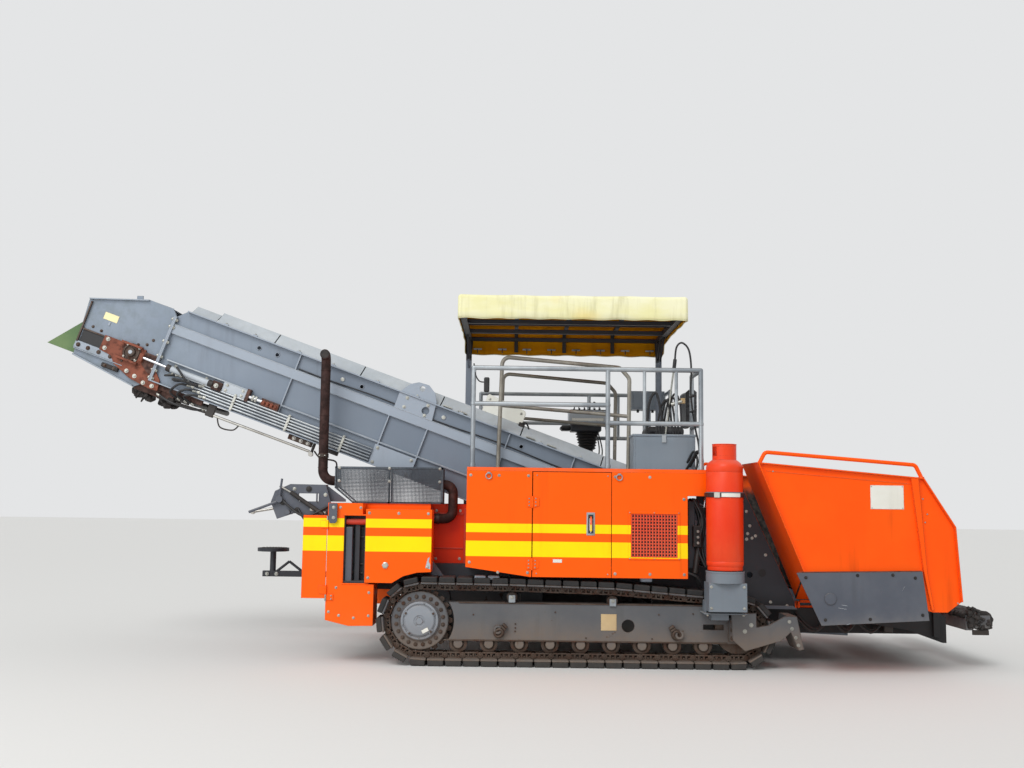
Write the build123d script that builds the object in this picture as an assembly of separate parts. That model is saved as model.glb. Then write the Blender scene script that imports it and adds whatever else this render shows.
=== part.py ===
from build123d import *
from math import acos, atan2, cos, hypot, pi, radians, sin
import os

# A tracked material transfer vehicle: hopper in front (+X), belt boom to the rear (-X).
# Millimetres, +Z up, +Y the machine's left. The origin is on the ground under the middle.

os.makedirs("parts", exist_ok=True)

seat = 0.3            # running or seating gap between curved faces
plate = 12            # body panels
heavy_plate = 20      # chassis and bracket plates

# tracks
track_centre_y = 1100
shoe_width = 300
shoe_depth = 60
shoe_pitch = 154
shoe_gap = 14
link_depth = 58
link_width = 150
sprocket_x = -740
sprocket_reach = 383  # centre to the outer face of the shoes
idler_x = 2062
idler_reach = 325
carrier_radius = 50
bottom_roller_radius = 70
bottom_roller_first_x = -401
bottom_roller_pitch = 269
bottom_roller_count = 9
track_frame_bottom = 212
track_frame_top = 546
track_frame_width = 150
track_frame_front_x = 2100

# chassis
beam_inner_y = 700
beam_outer_y = 800
beam_bottom = 620
beam_top = 860
chassis_rear_x = -1500
chassis_front_x = 2140

# side bodies and deck
body_outer_y = 1270
body_inner_y = 680
body_rear_x = -344
body_front_x = 1602
hood_front_x = 1765
hood_bottom = 1500
body_floor = beam_top
deck_top = 1732
deck_thickness = 32
door_rear_x = 238
door_front_x = 930
door_gap = 5
door_hinge_y = body_outer_y + 8
grille_x = (1103, 1512)
grille_z = (960, 1338)
cross_deck_rear_x = 1440

# boom: "along" runs up from the lower end of its top edge, "below" is square to it
boom_angle = 19.9
boom_x = 883
boom_z = 1775
boom_depth = 750
boom_half_width = 600
boom_web = 12
flange_reach = 40
head_joint_along = 4277
drum_below = 560
drum_radius = 130
belt_thickness = 12
belt_width = 1000
tail_drum_along = -2500
head_drum_reach = 263    # from the head joint to the head drum
head_drum_along = head_joint_along + head_drum_reach
mid_rail = (165, 255)     # the box rail's edges below the top edge
rail_reach = 26
web_tail_along = -1510   # where the webs' top edge ends behind the hopper's rear wall

# lift cylinders: foot pin (x, z), rod pin on the boom
lift_y = 470
lift_foot = (250, 590)
lift_head_along = 850
lift_head_drop = 60
lift_rod_radius = 28
lift_pin_radius = 22
lift_pin_drift = 12      # radial room round the rod's pin, which leaves its lug's centre as the boom tilts

# hopper
wing_outer_y = 1500
wing_hinge_y = 790
wing_hinge_z = 560
skirt_outer_y = 1540
auger_x = 2990
auger_z = 800
auger_radius = 165
auger_inner_y = 45
auger_outer_y = 700 - seat

# push rollers
push_roller_x = 4308
push_roller_z = 420
push_roller_radius = 100
push_roller_inner_y = 90
push_roller_outer_y = 980
push_pivot_x = 4080

# canopy
canopy_rear_x = -462
canopy_front_x = 1655
canopy_right_y = -1000
canopy_left_y = 800
canopy_top = 3347
canopy_skirt = 230
canopy_wall = 8

# rear housing
housing_rear_x = -1530
housing_front_x = -360
box_rear_x = -1570       # rear face of the corner boxes, where the flaps hinge
bay_rear_x = -680
bay_y = 740              # outer face of the set-in wall beside the exhaust elbow

# exhaust, on the right
exhaust_y = -830
exhaust_radius = 44
stack_x = -1690
stack_mouth_z = 2765     # centre of the mouth, which looks out to the right
stack_mouth_reach = 90
stack_low_z = 1600
elbow_x = -485
elbow_z = (1265, 1577)   # heights of the elbow's two level legs
silencer_x = (-1556, -572)
silencer_z = (1400, 1730)

# operator's seat
seat_x = 1600

# gas bottle
bottle_x = 1905
bottle_y = -1385
bottle_radius = 159


def block(x, y, z):
    """A box from (low, high) pairs."""
    size = [pair[1] - pair[0] for pair in (x, y, z)]
    middle = [(pair[0] + pair[1]) / 2 for pair in (x, y, z)]
    return Pos(*middle) * Box(*size)


def plate_xz(outline, y0, y1):
    """An upright plate whose outline is seen from the side."""
    face = make_face(Polyline(*[(x, y0, z) for x, z in outline], close=True))
    return extrude(face, amount=y1 - y0, dir=(0, 1, 0))


def plate_yz(outline, x0, x1):
    """A plate whose outline is seen from the front."""
    face = make_face(Polyline(*[(x0, y, z) for y, z in outline], close=True))
    return extrude(face, amount=x1 - x0, dir=(1, 0, 0))


def rod(start, end, radius):
    """A round bar between two points."""
    line = Vector(*end) - Vector(*start)
    base = Plane(origin=Vector(*start), z_dir=line)
    return base * Cylinder(radius, line.length, align=(Align.CENTER, Align.CENTER, Align.MIN))


def cross_rod(x, z, y0, y1, radius):
    """A round bar across the machine."""
    return rod((x, y0, z), (x, y1, z), radius)


def bent_pipe(points, radius, bend):
    """A pipe along straight runs joined by arcs."""
    path = FilletPolyline(*points, radius=bend)
    return sweep(Plane(origin=path @ 0, z_dir=path % 0) * Circle(radius), path=path)


def union(pieces):
    return Part() + list(pieces)


def both_sides(piece):
    """The piece and its mirror image on the machine's left."""
    return [piece, mirror(piece, about=Plane.XZ)]


def write(name, shape):
    """One node: a single solid, or a list of like solids that don't touch."""
    if isinstance(shape, list):
        shape = Compound(children=shape)
    export_step(shape, f"parts/{name}.step")


def write_pair(name, shape):
    """One node for the machine's right side (-Y) and its mirror for the left."""
    write(f"{name}_right", shape)
    write(f"{name}_left", mirror(shape, about=Plane.XZ))


# The loop of a chain or belt round wheels, taken anticlockwise seen from -Y.

def loop_runs(wheels):
    """Straight runs and arcs of the loop: (length, start normal angle, turn, start point)."""
    normals = []
    for (x1, z1, r1), (x2, z2, r2) in zip(wheels, wheels[1:] + wheels[:1]):
        gap = hypot(x2 - x1, z2 - z1)
        heading = atan2(z2 - z1, x2 - x1)
        normals.append(heading - acos((r1 - r2) / gap))
    runs = []
    for index, (x, z, radius) in enumerate(wheels):
        into, out = normals[index - 1], normals[index]
        turn = (out - into) % (2 * pi)
        runs.append((radius * turn, into, turn, (x, z, radius)))
        next_x, next_z, next_radius = wheels[(index + 1) % len(wheels)]
        start = (x + radius * cos(out), z + radius * sin(out))
        end = (next_x + next_radius * cos(out), next_z + next_radius * sin(out))
        runs.append((hypot(end[0] - start[0], end[1] - start[1]), out, 0, (*start, *end)))
    return runs


def loop_point(runs, distance, outward):
    """The point at a distance along the loop, moved outward."""
    distance %= sum(run[0] for run in runs)
    for length, normal, turn, place in runs:
        if distance <= length:
            break
        distance -= length
    share = distance / length if length else 0
    if turn:
        x, z, radius = place
        angle = normal + turn * share
        return (x + (radius + outward) * cos(angle), z + (radius + outward) * sin(angle))
    x1, z1, x2, z2 = place
    x, z = x1 + (x2 - x1) * share, z1 + (z2 - z1) * share
    return (x + outward * cos(normal), z + outward * sin(normal))


def ring(outer, inner, y0, y1):
    return plate_xz(outer, y0, y1) - plate_xz(inner, y0, y1)


# Tracks and their running gear

shoe_root = shoe_depth
sprocket_z = sprocket_reach
idler_z = idler_reach
chain_floor = shoe_depth + link_depth
# carrier rollers: x, z of the centre
carrier_rollers = [(68, 592), (955, 570)]
track_wheels = [
    (sprocket_x, sprocket_z, sprocket_reach - shoe_root),
    (idler_x, idler_z, idler_reach - shoe_root),
    (carrier_rollers[1][0], carrier_rollers[1][1], carrier_radius + link_depth),
    (carrier_rollers[0][0], carrier_rollers[0][1], carrier_radius + link_depth),
]
frame_outer_y = track_centre_y + track_frame_width / 2
frame_inner_y = track_centre_y - track_frame_width / 2
roller_z = chain_floor + bottom_roller_radius + seat
bottom_roller_places = [
    bottom_roller_first_x + index * bottom_roller_pitch for index in range(bottom_roller_count)]


def track_loop():
    """Shoes and link chain of the right track as one closed loop."""
    runs = loop_runs(track_wheels)
    length = sum(run[0] for run in runs)
    count = round(length / shoe_pitch)
    pitch = length / count
    shoes, root, links_out, links_in = [], [], [], []
    for index in range(count):
        start = index * pitch
        for along, outward in ((shoe_gap / 2, 0), (shoe_gap / 2, shoe_depth),
                               (pitch - shoe_gap / 2, shoe_depth), (pitch - shoe_gap / 2, 0)):
            shoes.append(loop_point(runs, start + along, outward))
        root.append(loop_point(runs, start, -12))
        links_out.append(loop_point(runs, start, -6))
        for step in (0, 0.5):
            links_in.append(loop_point(runs, start + step * pitch, -link_depth))
    shoe_ring = ring(shoes, root, -track_centre_y - shoe_width / 2, -track_centre_y + shoe_width / 2)
    link_ring = ring(links_out, links_in, -track_centre_y - link_width / 2, -track_centre_y + link_width / 2)
    return shoe_ring + link_ring


def track_frame():
    """Channel beam that carries the rollers, with the drive plate behind the sprocket."""
    wall = heavy_plate
    side_outline = [(-560, track_frame_bottom), (track_frame_front_x, track_frame_bottom),
                    (track_frame_front_x, 430), (1800, track_frame_top), (-560, track_frame_top)]
    sprocket_cut = cross_rod(sprocket_x, sprocket_z, -frame_outer_y - 1, -frame_inner_y + 1, 300)
    outer = plate_xz(side_outline, -frame_outer_y, -frame_outer_y + wall) - sprocket_cut
    outer -= rod((1090, -frame_outer_y - 1, 357), (1090, -frame_outer_y + wall + 1, 357), 55)
    outer -= block((1750, 1930), (-frame_outer_y - 1, -frame_outer_y + wall + 1), (334, 378))
    inner = plate_xz(side_outline, -frame_inner_y - wall, -frame_inner_y)
    drive_plate = plate_xz([(-560, 212), (-560, 546), (-740, 560), (-890, 470), (-890, 296), (-740, 212)],
                           -frame_inner_y - wall, -frame_inner_y)
    top = block((-420, 1750), (-frame_outer_y, -frame_inner_y), (track_frame_top - wall, track_frame_top))
    for x, z in carrier_rollers:
        top -= block((x - 60, x + 60), (-frame_outer_y + wall, -frame_inner_y - wall), (500, 600))
    pieces = [outer, inner, drive_plate, top]
    collar_radius = 40
    for x in bottom_roller_places:
        for y0, y1 in ((-frame_outer_y, -frame_outer_y + wall), (-frame_inner_y - wall, -frame_inner_y)):
            pieces.append(cross_rod(x, roller_z, y0, y1, collar_radius))
    for x, z in carrier_rollers:
        for y0 in (-frame_outer_y, -frame_inner_y - wall):
            pieces.append(block((x - 30, x + 30), (y0, y0 + wall), (track_frame_top - 5, z + 22)))
    # lifting eyes on the outer plate
    for x, z in ((-54, 316), (1536, 290)):
        eye = cross_rod(x, z, -frame_outer_y - 35, -frame_outer_y, 38)
        pieces.append(eye - cross_rod(x, z, -frame_outer_y - 40, -frame_outer_y - 12, 18))
    return union(pieces)


def sprocket():
    """Drive sprocket with its ring of bolts' flange and the final drive's cover."""
    inner_face = -frame_inner_y - heavy_plate
    disc_radius = sprocket_reach - chain_floor - 4
    return union([
        cross_rod(sprocket_x, sprocket_z, -1130, inner_face, 150),
        cross_rod(sprocket_x, sprocket_z, -1140, -1080, disc_radius),
        cross_rod(sprocket_x, sprocket_z, -1175, -1139, 232),
        cross_rod(sprocket_x, sprocket_z, -1205, -1174, 160),
        cross_rod(sprocket_x, sprocket_z, -1222, -1204, 105),
    ])


def idler():
    gap_y = track_frame_width / 2 - heavy_plate
    radius = idler_reach - chain_floor - 3
    return union([
        cross_rod(idler_x, idler_z, -track_centre_y - 42, -track_centre_y + 42, radius),
        cross_rod(idler_x, idler_z, -track_centre_y - gap_y, -track_centre_y + gap_y, 60),
    ])


def bottom_roller(x):
    gap_y = track_frame_width / 2 - heavy_plate
    return union([
        cross_rod(x, roller_z, -track_centre_y - 48, -track_centre_y - 22, bottom_roller_radius),
        cross_rod(x, roller_z, -track_centre_y - 22, -track_centre_y + 22, bottom_roller_radius - 18),
        cross_rod(x, roller_z, -track_centre_y + 22, -track_centre_y + 48, bottom_roller_radius),
        cross_rod(x, roller_z, -track_centre_y - gap_y, -track_centre_y + gap_y, 24),
    ])


def carrier_roller(x, z):
    gap_y = track_frame_width / 2 - heavy_plate
    return union([
        cross_rod(x, z, -track_centre_y - 45, -track_centre_y + 45, carrier_radius - 3),
        cross_rod(x, z, -track_centre_y - gap_y, -track_centre_y + gap_y, 20),
    ])


def scraper():
    """Bracket that holds a mud scraper ahead of the idler."""
    bracket_y = -1292
    blade_inner_y = -track_centre_y + shoe_width / 2
    arm = plate_xz([(1972, 490), (2191, 492), (2192, 372), (2300, 392), (2440, 470), (2500, 470),
                    (2500, 345), (2410, 262), (2092, 168), (1985, 262)], bracket_y, bracket_y + heavy_plate)
    spacer = block((1990, 2080), (bracket_y + heavy_plate - 1, -frame_outer_y), (300, 420))
    blade = plate_xz([(2470, 470), (2545, 470), (2600, 190), (2560, 180), (2460, 400)],
                     bracket_y, blade_inner_y)
    return union([arm, spacer, blade])


# Chassis

def main_frame():
    """Long beams, cross beams to the track frames and the hopper's underframe."""
    pieces = []
    for sign in (-1, 1):
        side = (beam_inner_y, beam_outer_y) if sign > 0 else (-beam_outer_y, -beam_inner_y)
        pieces.append(block((chassis_rear_x, chassis_front_x), side, (beam_bottom, beam_top)))
        # hopper underframe: rail beside the boom's tail, and its upright at the rear
        pieces.append(block((1900, 3900), side, (280, 500)))
        pieces.append(block((1900, 2100), side, (500, beam_bottom)))
        pieces.append(block((150, 350), side, (480, beam_bottom)))
        pieces.append(block((1350, 1550), side, (480, beam_bottom)))
    # cross members: rear x, front x, bottom z, top z, half length
    for x0, x1, z0, z1, half in ((170, 330, 300, 480, frame_inner_y), (1370, 1530, 300, 480, frame_inner_y),
                                 (chassis_rear_x, -1300, 620, 720, 710), (-700, -600, 620, 720, 710),
                                 (1900, 2000, 280, 380, 710), (3740, 3900, 280, 500, 710)):
        pieces.append(block((x0, x1), (-half, half), (z0, z1)))
    # nose with the pin that the push beam swings on
    pieces.append(block((3890, 3985), (-150, 150), (300, 480)))
    for z0, z1 in ((300, 330), (450, 480)):
        pieces.append(block((3980, push_pivot_x + 36), (-70, 70), (z0, z1)))
    frame = union(pieces)
    frame -= Pos(push_pivot_x, 0, 390) * Cylinder(31, 300)
    pivot_x, pivot_z = boom_point(tail_drum_along, drum_below)
    for piece in both_sides(cross_rod(pivot_x, pivot_z, -beam_outer_y - 1, -beam_inner_y + 1, 41)):
        frame -= piece
    # feet of the lift cylinders
    foot_x, foot_z = lift_foot
    for y in (-lift_y, lift_y):
        for offset in (-55, 35):
            lug = plate_xz([(foot_x - 60, 480), (foot_x + 60, 480), (foot_x + 45, foot_z + 45),
                            (foot_x - 45, foot_z + 45)], y + offset, y + offset + 20)
            frame += lug - cross_rod(foot_x, foot_z, y - 60, y + 60, lift_pin_radius + 1)
    return frame


def hopper_support():
    """Slanted bracket plate between the chassis and the hopper's back."""
    y0, y1 = -930, -910
    outline = [(2045, 1640), (2130, 1640), (2620, 560), (2620, 500), (2105, 500), (2105, 870), (2045, 940)]
    web = plate_xz(outline, y0, y1)
    for x, z, radius in ((2330, 820, 32), (2215, 800, 26), (2150, 1480, 22)):
        web -= cross_rod(x, z, y0 - 1, y1 + 1, radius)
    foot = block((2145, 2620), (y1 - 1, -beam_inner_y), (500, 520))
    front_flange = plate_xz([(2130, 1640), (2114, 1640), (2604, 560), (2620, 560)], y0, y0 + 80)
    return union([web, foot, front_flange])


# Side bodies

def side_body():
    """Hollow service compartment beside the boom: fixed panels, floor and inner wall."""
    outer = (-body_outer_y, -body_outer_y + plate)
    top = deck_top - deck_thickness
    skirt = 779
    rear_panel = plate_xz([(body_rear_x, 858), (222, skirt), (door_rear_x - door_gap, skirt),
                           (door_rear_x - door_gap, top), (body_rear_x, top)], *outer)
    front_panel = plate_xz([(door_front_x + door_gap, skirt), (body_front_x, skirt),
                            (body_front_x, hood_bottom), (hood_front_x, hood_bottom), (hood_front_x, top),
                            (door_front_x + door_gap, top)], *outer)
    front_panel -= block(grille_x, (outer[0] - 1, outer[1] + 1), grille_z)
    depth = (-body_outer_y + plate, -body_inner_y)
    walls = [
        rear_panel, front_panel,
        block((body_rear_x, body_front_x), depth, (body_floor, body_floor + plate)),
        block((body_rear_x, body_front_x), (-body_inner_y - plate, -body_inner_y), (body_floor, top)),
        block((body_rear_x, body_rear_x + plate), depth, (body_floor, top)),
        block((body_front_x - plate, body_front_x), depth, (body_floor, top)),
        block((body_front_x, hood_front_x), (-body_outer_y + plate, -1000), (hood_bottom, hood_bottom + plate)),
    ]
    # door posts
    for x in (door_rear_x - 60, door_front_x + 20):
        walls.append(block((x, x + 40), (-body_outer_y + plate - 1, -1180), (body_floor, top)))
    return union(walls)


def side_grille():
    """Square-meshed air grille set into the front panel."""
    y = (-body_outer_y + 2, -body_outer_y + 8)
    rows, columns = 12, 13
    half_bar = 4.5
    width = grille_x[1] - grille_x[0]
    height = grille_z[1] - grille_z[0]
    rim = 14
    bars = [block((grille_x[0], grille_x[0] + rim), y, grille_z),
            block((grille_x[1] - rim, grille_x[1]), y, grille_z),
            block(grille_x, y, (grille_z[0], grille_z[0] + rim)),
            block(grille_x, y, (grille_z[1] - rim, grille_z[1]))]
    for index in range(1, columns):
        x = grille_x[0] + width * index / columns
        bars.append(block((x - half_bar, x + half_bar), y, grille_z))
    for index in range(1, rows):
        z = grille_z[0] + height * index / rows
        bars.append(block(grille_x, y, (z - half_bar, z + half_bar)))
    return union(bars)


def side_door():
    """Middle panel of the side body, hinged at its rear edge."""
    panel = block((door_rear_x + door_gap - 2, door_front_x), (-body_outer_y, -body_outer_y + plate),
                  (779, deck_top - deck_thickness - door_gap))
    pieces = [panel]
    for z in (890, 1430):
        pieces.append(rod((door_rear_x, -door_hinge_y, z - 40), (door_rear_x, -door_hinge_y, z + 40), 9))
        pieces.append(block((door_rear_x, door_rear_x + 60), (-body_outer_y - 5, -body_outer_y), (z - 35, z + 35)))
    # latch plate and pull handle
    pieces.append(block((735, 765), (-body_outer_y - 6, -body_outer_y + 1), (1165, 1325)))
    pieces.append(block((743, 757), (-body_outer_y - 30, -body_outer_y - 5), (1180, 1310)))
    return union(pieces)


def deck():
    """Walkways on the side bodies and the floor that crosses over the boom."""
    z = (deck_top - deck_thickness, deck_top)
    pieces = [block((body_rear_x, hood_front_x), (y0, y1), z)
              for y0, y1 in ((-body_outer_y, -660), (660, body_outer_y))]
    pieces.append(block((cross_deck_rear_x, hood_front_x), (-670, 670), z))
    return union(pieces)


# Rear housing

def rear_housing():
    """Hollow engine housing, lower under the boom, with the deep boxes behind the tracks."""
    rear, front = housing_rear_x, housing_front_x
    half, top, low_top = 950, 1400, 1250
    inner = 690
    pieces = []
    for sign in (-1, 1):
        def across(a, b):
            return (a, b) if sign > 0 else (-b, -a)
        pieces += [
            block((rear, bay_rear_x), across(half - plate, half), (beam_top, top)),
            block((rear, bay_rear_x), across(inner, half), (top - plate, top)),
            block((bay_rear_x - plate, bay_rear_x), across(inner, half), (beam_top, top)),
            block((rear, bay_rear_x), across(beam_inner_y, half), (beam_top, beam_top + plate)),
            # the bay beside the elbow is set in
            block((bay_rear_x - plate, front), across(inner, bay_y), (beam_top, beam_top + plate)),
            block((bay_rear_x - plate, front), across(bay_y - plate, bay_y), (beam_top, top)),
            block((bay_rear_x - plate, front), across(inner, bay_y), (top - plate, top)),
            block((rear, front), across(inner, inner + plate), (low_top - plate, top)),
        ]
        # deep corner box behind the track, with the open bay beside it
        box = plate_xz([(box_rear_x, 1400), (box_rear_x, 379), (-1365, 330), (-1150, 333), (-1150, 690),
                        (-1262, 700), (-1262, 1400)], 905, 1200)
        box -= block((-1422, -1200), (1000, 1201), (700, 1290))
        if sign < 0:
            box = mirror(box, about=Plane.XZ)
        pieces.append(box)
    pieces.append(block((rear, front), (-inner - plate, inner + plate), (low_top - plate, low_top)))
    for x, reach in ((rear, half), (front - plate, bay_y)):
        pieces.append(block((x, x + plate), (-reach, reach), (beam_top, low_top)))
        for side in ((-reach, -inner), (inner, reach)):
            pieces.append(block((x, x + plate), side, (beam_top, top)))
    housing = union(pieces)
    housing -= block((rear - 1, rear + plate + 1), (-560, 560), (900, 1190))
    return housing


def tank_box():
    """Striped box that hangs over the track beside the housing."""
    return plate_xz([(-1230, 707), (-990, 707), (-890, 768), (-770, 800), (-648, 806), (-648, 1350), (-1230, 1350)],
                    -1222, -950)


def rear_flap():
    """Rear corner door beside the deep box."""
    hinge_x = box_rear_x
    panel = plate_xz([(-1785, 1290), (-1785, 566), (hinge_x - 5, 566), (hinge_x - 5, 1290)], -1200, -1200 + plate)
    pieces = [panel]
    for z in (640, 1210):
        pieces.append(rod((hinge_x, -1209.3, z - 40), (hinge_x, -1209.3, z + 40), 9))
        pieces.append(block((hinge_x - 60, hinge_x), (-1206, -1200), (z - 35, z + 35)))
    return union(pieces)


def rear_linkage():
    """Grey valve bracket with levers behind the housing, on the right."""
    y0, y1 = -1060, -910
    back = box_rear_x
    outline = [(back, 1240), (back, 1400), (-1619, 1560), (-1937, 1563), (-2075, 1500), (-2110, 1400),
               (-2050, 1250), (-1902, 1301), (-1849, 1301), (-1642, 1225)]
    web = plate_xz(outline, y0, y0 + heavy_plate)
    web -= block((-1860, -1680), (y0 - 1, y0 + heavy_plate + 1), (1410, 1480))
    pieces = [
        web,
        plate_xz([(back, 1245), (back, 1400), (back - 60, 1400), (back - 60, 1245)], y0, y1),
        plate_xz([(-1937, 1563), (-1937, 1535), (-1640, 1530), (-1619, 1560)], y0, y1),
        cross_rod(-2030, 1425, y0 - 40, y1, 30),
        cross_rod(-1950, 1310, y0 - 30, y1, 20),
        rod((-2030, y0 - 25, 1410), (-2298, y0 - 25, 1308), 12),
        rod((-2030, y0 - 25, 1430), (-2010, y0 - 25, 1610), 10),
        block((-2040, -1960), (y0 + 10, y1), (1330, 1440)),
    ]
    return union(pieces)


def rear_step():
    """Round pad on a post and arm behind the housing, on the left."""
    y = 945
    pieces = [
        rod((-2496, y, 870), (-2496, y, 902), 165),
        rod((-2496, y, 630), (-2496, y, 871), 32),
        block((-2600, box_rear_x), (y - 30, y + 30), (600, 660)),
        rod((-2470, y, 640), (-2320, y, 760), 14),
        rod((-2320, y, 760), (-2160, y, 640), 14),
    ]
    return union(pieces)


# Exhaust

def silencer_guard():
    x0, x1 = silencer_x
    z0, z1 = silencer_z
    return plate_xz([(x0, z1 - 22), (x0 + 22, z1), (x1 - 10, z1), (x1, z1 - 10), (x1, z0), (-1388, z0),
                     (x0, 1536)], exhaust_y - 135, exhaust_y + 135)


def exhaust_stack():
    """Upright pipe from the silencer, its mouth turned out to the right."""
    mouth_y = exhaust_y - stack_mouth_reach
    path = FilletPolyline((stack_x, mouth_y, stack_mouth_z), (stack_x, exhaust_y, stack_mouth_z),
                          (stack_x, exhaust_y, stack_low_z), (silencer_x[0], exhaust_y, stack_low_z), radius=[62, 100])
    return sweep(Plane(origin=path @ 0, z_dir=path % 0) * Circle(exhaust_radius), path=path)


def exhaust_elbow():
    """Pipe that leaves the silencer's front and turns back down into the housing."""
    low_z, high_z = elbow_z
    return bent_pipe([(silencer_x[1], exhaust_y, high_z), (elbow_x, exhaust_y, high_z),
                      (elbow_x, exhaust_y, low_z), (bay_rear_x, exhaust_y, low_z)], exhaust_radius, 80)


# Boom

def boom_point(along, below):
    """Side-view place of a point given along the boom's top edge and square below it."""
    tilt = radians(boom_angle)
    return (boom_x - along * cos(tilt) - below * sin(tilt), boom_z + along * sin(tilt) - below * cos(tilt))


def head_point(along, below):
    """Side-view place of a point given from the head drum's centre, in the boom's directions."""
    return boom_point(head_drum_along + along, drum_below + below)


def boom_block(along, below, y):
    """A block that lies along the boom, from (low, high) pairs."""
    corners = [boom_point(a, b) for a, b in ((along[0], below[0]), (along[1], below[0]),
                                             (along[1], below[1]), (along[0], below[1]))]
    return plate_xz(corners, *y)


def boom_rod(start, end, radius):
    """A bar given by (along, y, below) at each end."""
    points = []
    for along, y, below in (start, end):
        x, z = boom_point(along, below)
        points.append((x, y, z))
    return rod(*points, radius)


lift_head = boom_point(lift_head_along, boom_depth + lift_head_drop)


def boom_frame():
    """Side webs with flanges and ribs, tied by cross tubes, from the tail to the head joint."""
    outer = boom_half_width
    web_y = (-outer, -outer + boom_web)
    lower_front = boom_point(-1150, boom_depth)
    web = plate_xz([
        boom_point(head_joint_along, 90), boom_point(head_joint_along, boom_depth),
        lower_front, (2560, 262), (3190, 235), (3215, 560), (2760, 590), (2568, 600),
        boom_point(web_tail_along, 0), boom_point(head_joint_along - 90, 0)], *web_y)
    right = [web]
    flange_y = (-outer - flange_reach, -outer + boom_web)
    right.append(boom_block((web_tail_along, head_joint_along - 90), (0, 12), flange_y))
    right.append(boom_block((-1150, head_joint_along), (boom_depth - 12, boom_depth), flange_y))
    # box rail along the middle and thin rail over the hydraulic lines
    right.append(boom_block((-1200, head_joint_along - 12), mid_rail, (-outer - rail_reach, -outer)))
    right.append(boom_block((-1150, 3025), (522, 534), (-outer - rail_reach, -outer)))
    # ribs: place along, top and bottom below the edge
    for along, below0, below1 in ((3025, 12, 600), (2033, mid_rail[0], 560), (1647, mid_rail[0], 560),
                                  (900, 12, 740), (250, 12, 740), (-520, 12, 740)):
        right.append(boom_block((along - 6, along + 6), (below0, below1), (-outer - rail_reach, -outer)))
    # holes in the upper strip of the web
    for along in (3428, 3242, 2573, 2377, 1545, 760):
        x, z = boom_point(along, 92)
        right[0] -= cross_rod(x, z, -outer - 1, -outer + boom_web + 1, 17)
    right.append(boom_block((head_joint_along - 14, head_joint_along), (90, boom_depth), flange_y))
    # lifting lug plate with a hole, and the gusset at the housing
    lug = plate_xz([boom_point(*corner) for corner in (
        (2018, 171), (2020, 14), (1950, -95), (1880, -138), (1780, -145), (1700, -95), (1656, -20),
        (1632, 171))], -outer - 26, -outer - 8)
    lug += boom_block((1640, 2010), (13, 30), (-outer - 10, -outer))
    for along, below, radius in ((1826, -92, 26), (1726, 95, 36)):
        x, z = boom_point(along, below)
        lug -= cross_rod(x, z, -outer - 30, -outer, radius)
    right.append(lug)
    right.append(boom_block((1640, 2055), (550, boom_depth), (-outer - flange_reach, -outer)))
    # pivot pin at the tail
    pivot_x, pivot_z = boom_point(tail_drum_along, drum_below)
    right.append(cross_rod(pivot_x, pivot_z, -beam_outer_y + 20, -outer + 1, 40))
    # lug of the lift cylinder's rod
    for y0 in (-lift_y - 55, -lift_y + 35):
        lug_tip = lift_head_drop + lift_pin_radius + lift_pin_drift + 20
        lug = plate_xz([boom_point(lift_head_along - 90, boom_depth - 14),
                        boom_point(lift_head_along + 90, boom_depth - 14),
                        boom_point(lift_head_along + 60, boom_depth + lug_tip),
                        boom_point(lift_head_along - 60, boom_depth + lug_tip)], y0, y0 + 20)
        right.append(lug - cross_rod(*lift_head, y0 - 1, y0 + 21, lift_pin_radius + lift_pin_drift))
    pieces = []
    for piece in right:
        pieces += both_sides(piece)
    # cross tubes between the runs of the belt, and ties below it
    for along in (-1900, -900, 200, 1300, 2400, 3500, head_joint_along - 77):
        x, z = boom_point(along, drum_below)
        pieces.append(cross_rod(x, z, -outer + 1, outer - 1, 38))
    for along0, along1 in ((-1150, -1000), (lift_head_along - 130, lift_head_along + 130), (2500, 2600),
                           (head_joint_along - 127, head_joint_along - 27)):
        pieces.append(boom_block((along0, along1), (boom_depth - 14, boom_depth), (-outer + 1, outer - 1)))
    return union(pieces)


def boom_belt():
    """Closed rubber belt round the tail and head drums."""
    middle = (tail_drum_along + head_drum_along) / 2
    x, z = boom_point(middle, drum_below)
    tilt = radians(boom_angle)
    across = Plane(origin=(x, -belt_width / 2, z), x_dir=(-cos(tilt), 0, sin(tilt)), z_dir=(0, 1, 0))
    span = head_drum_along - tail_drum_along
    outer = 2 * (drum_radius + belt_thickness)
    section = SlotCenterToCenter(span, outer) - SlotCenterToCenter(span, 2 * drum_radius)
    return extrude(across * section, amount=belt_width, dir=(0, 1, 0))


def belt_drums():
    drums = []
    for along, shaft in ((tail_drum_along, boom_half_width - boom_web), (head_drum_along, boom_half_width - boom_web)):
        x, z = boom_point(along, drum_below)
        drums.append(union([
            cross_rod(x, z, -belt_width / 2 - 10, belt_width / 2 + 10, drum_radius - seat),
            cross_rod(x, z, -shaft, shaft, 35)]))
    return drums


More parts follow.
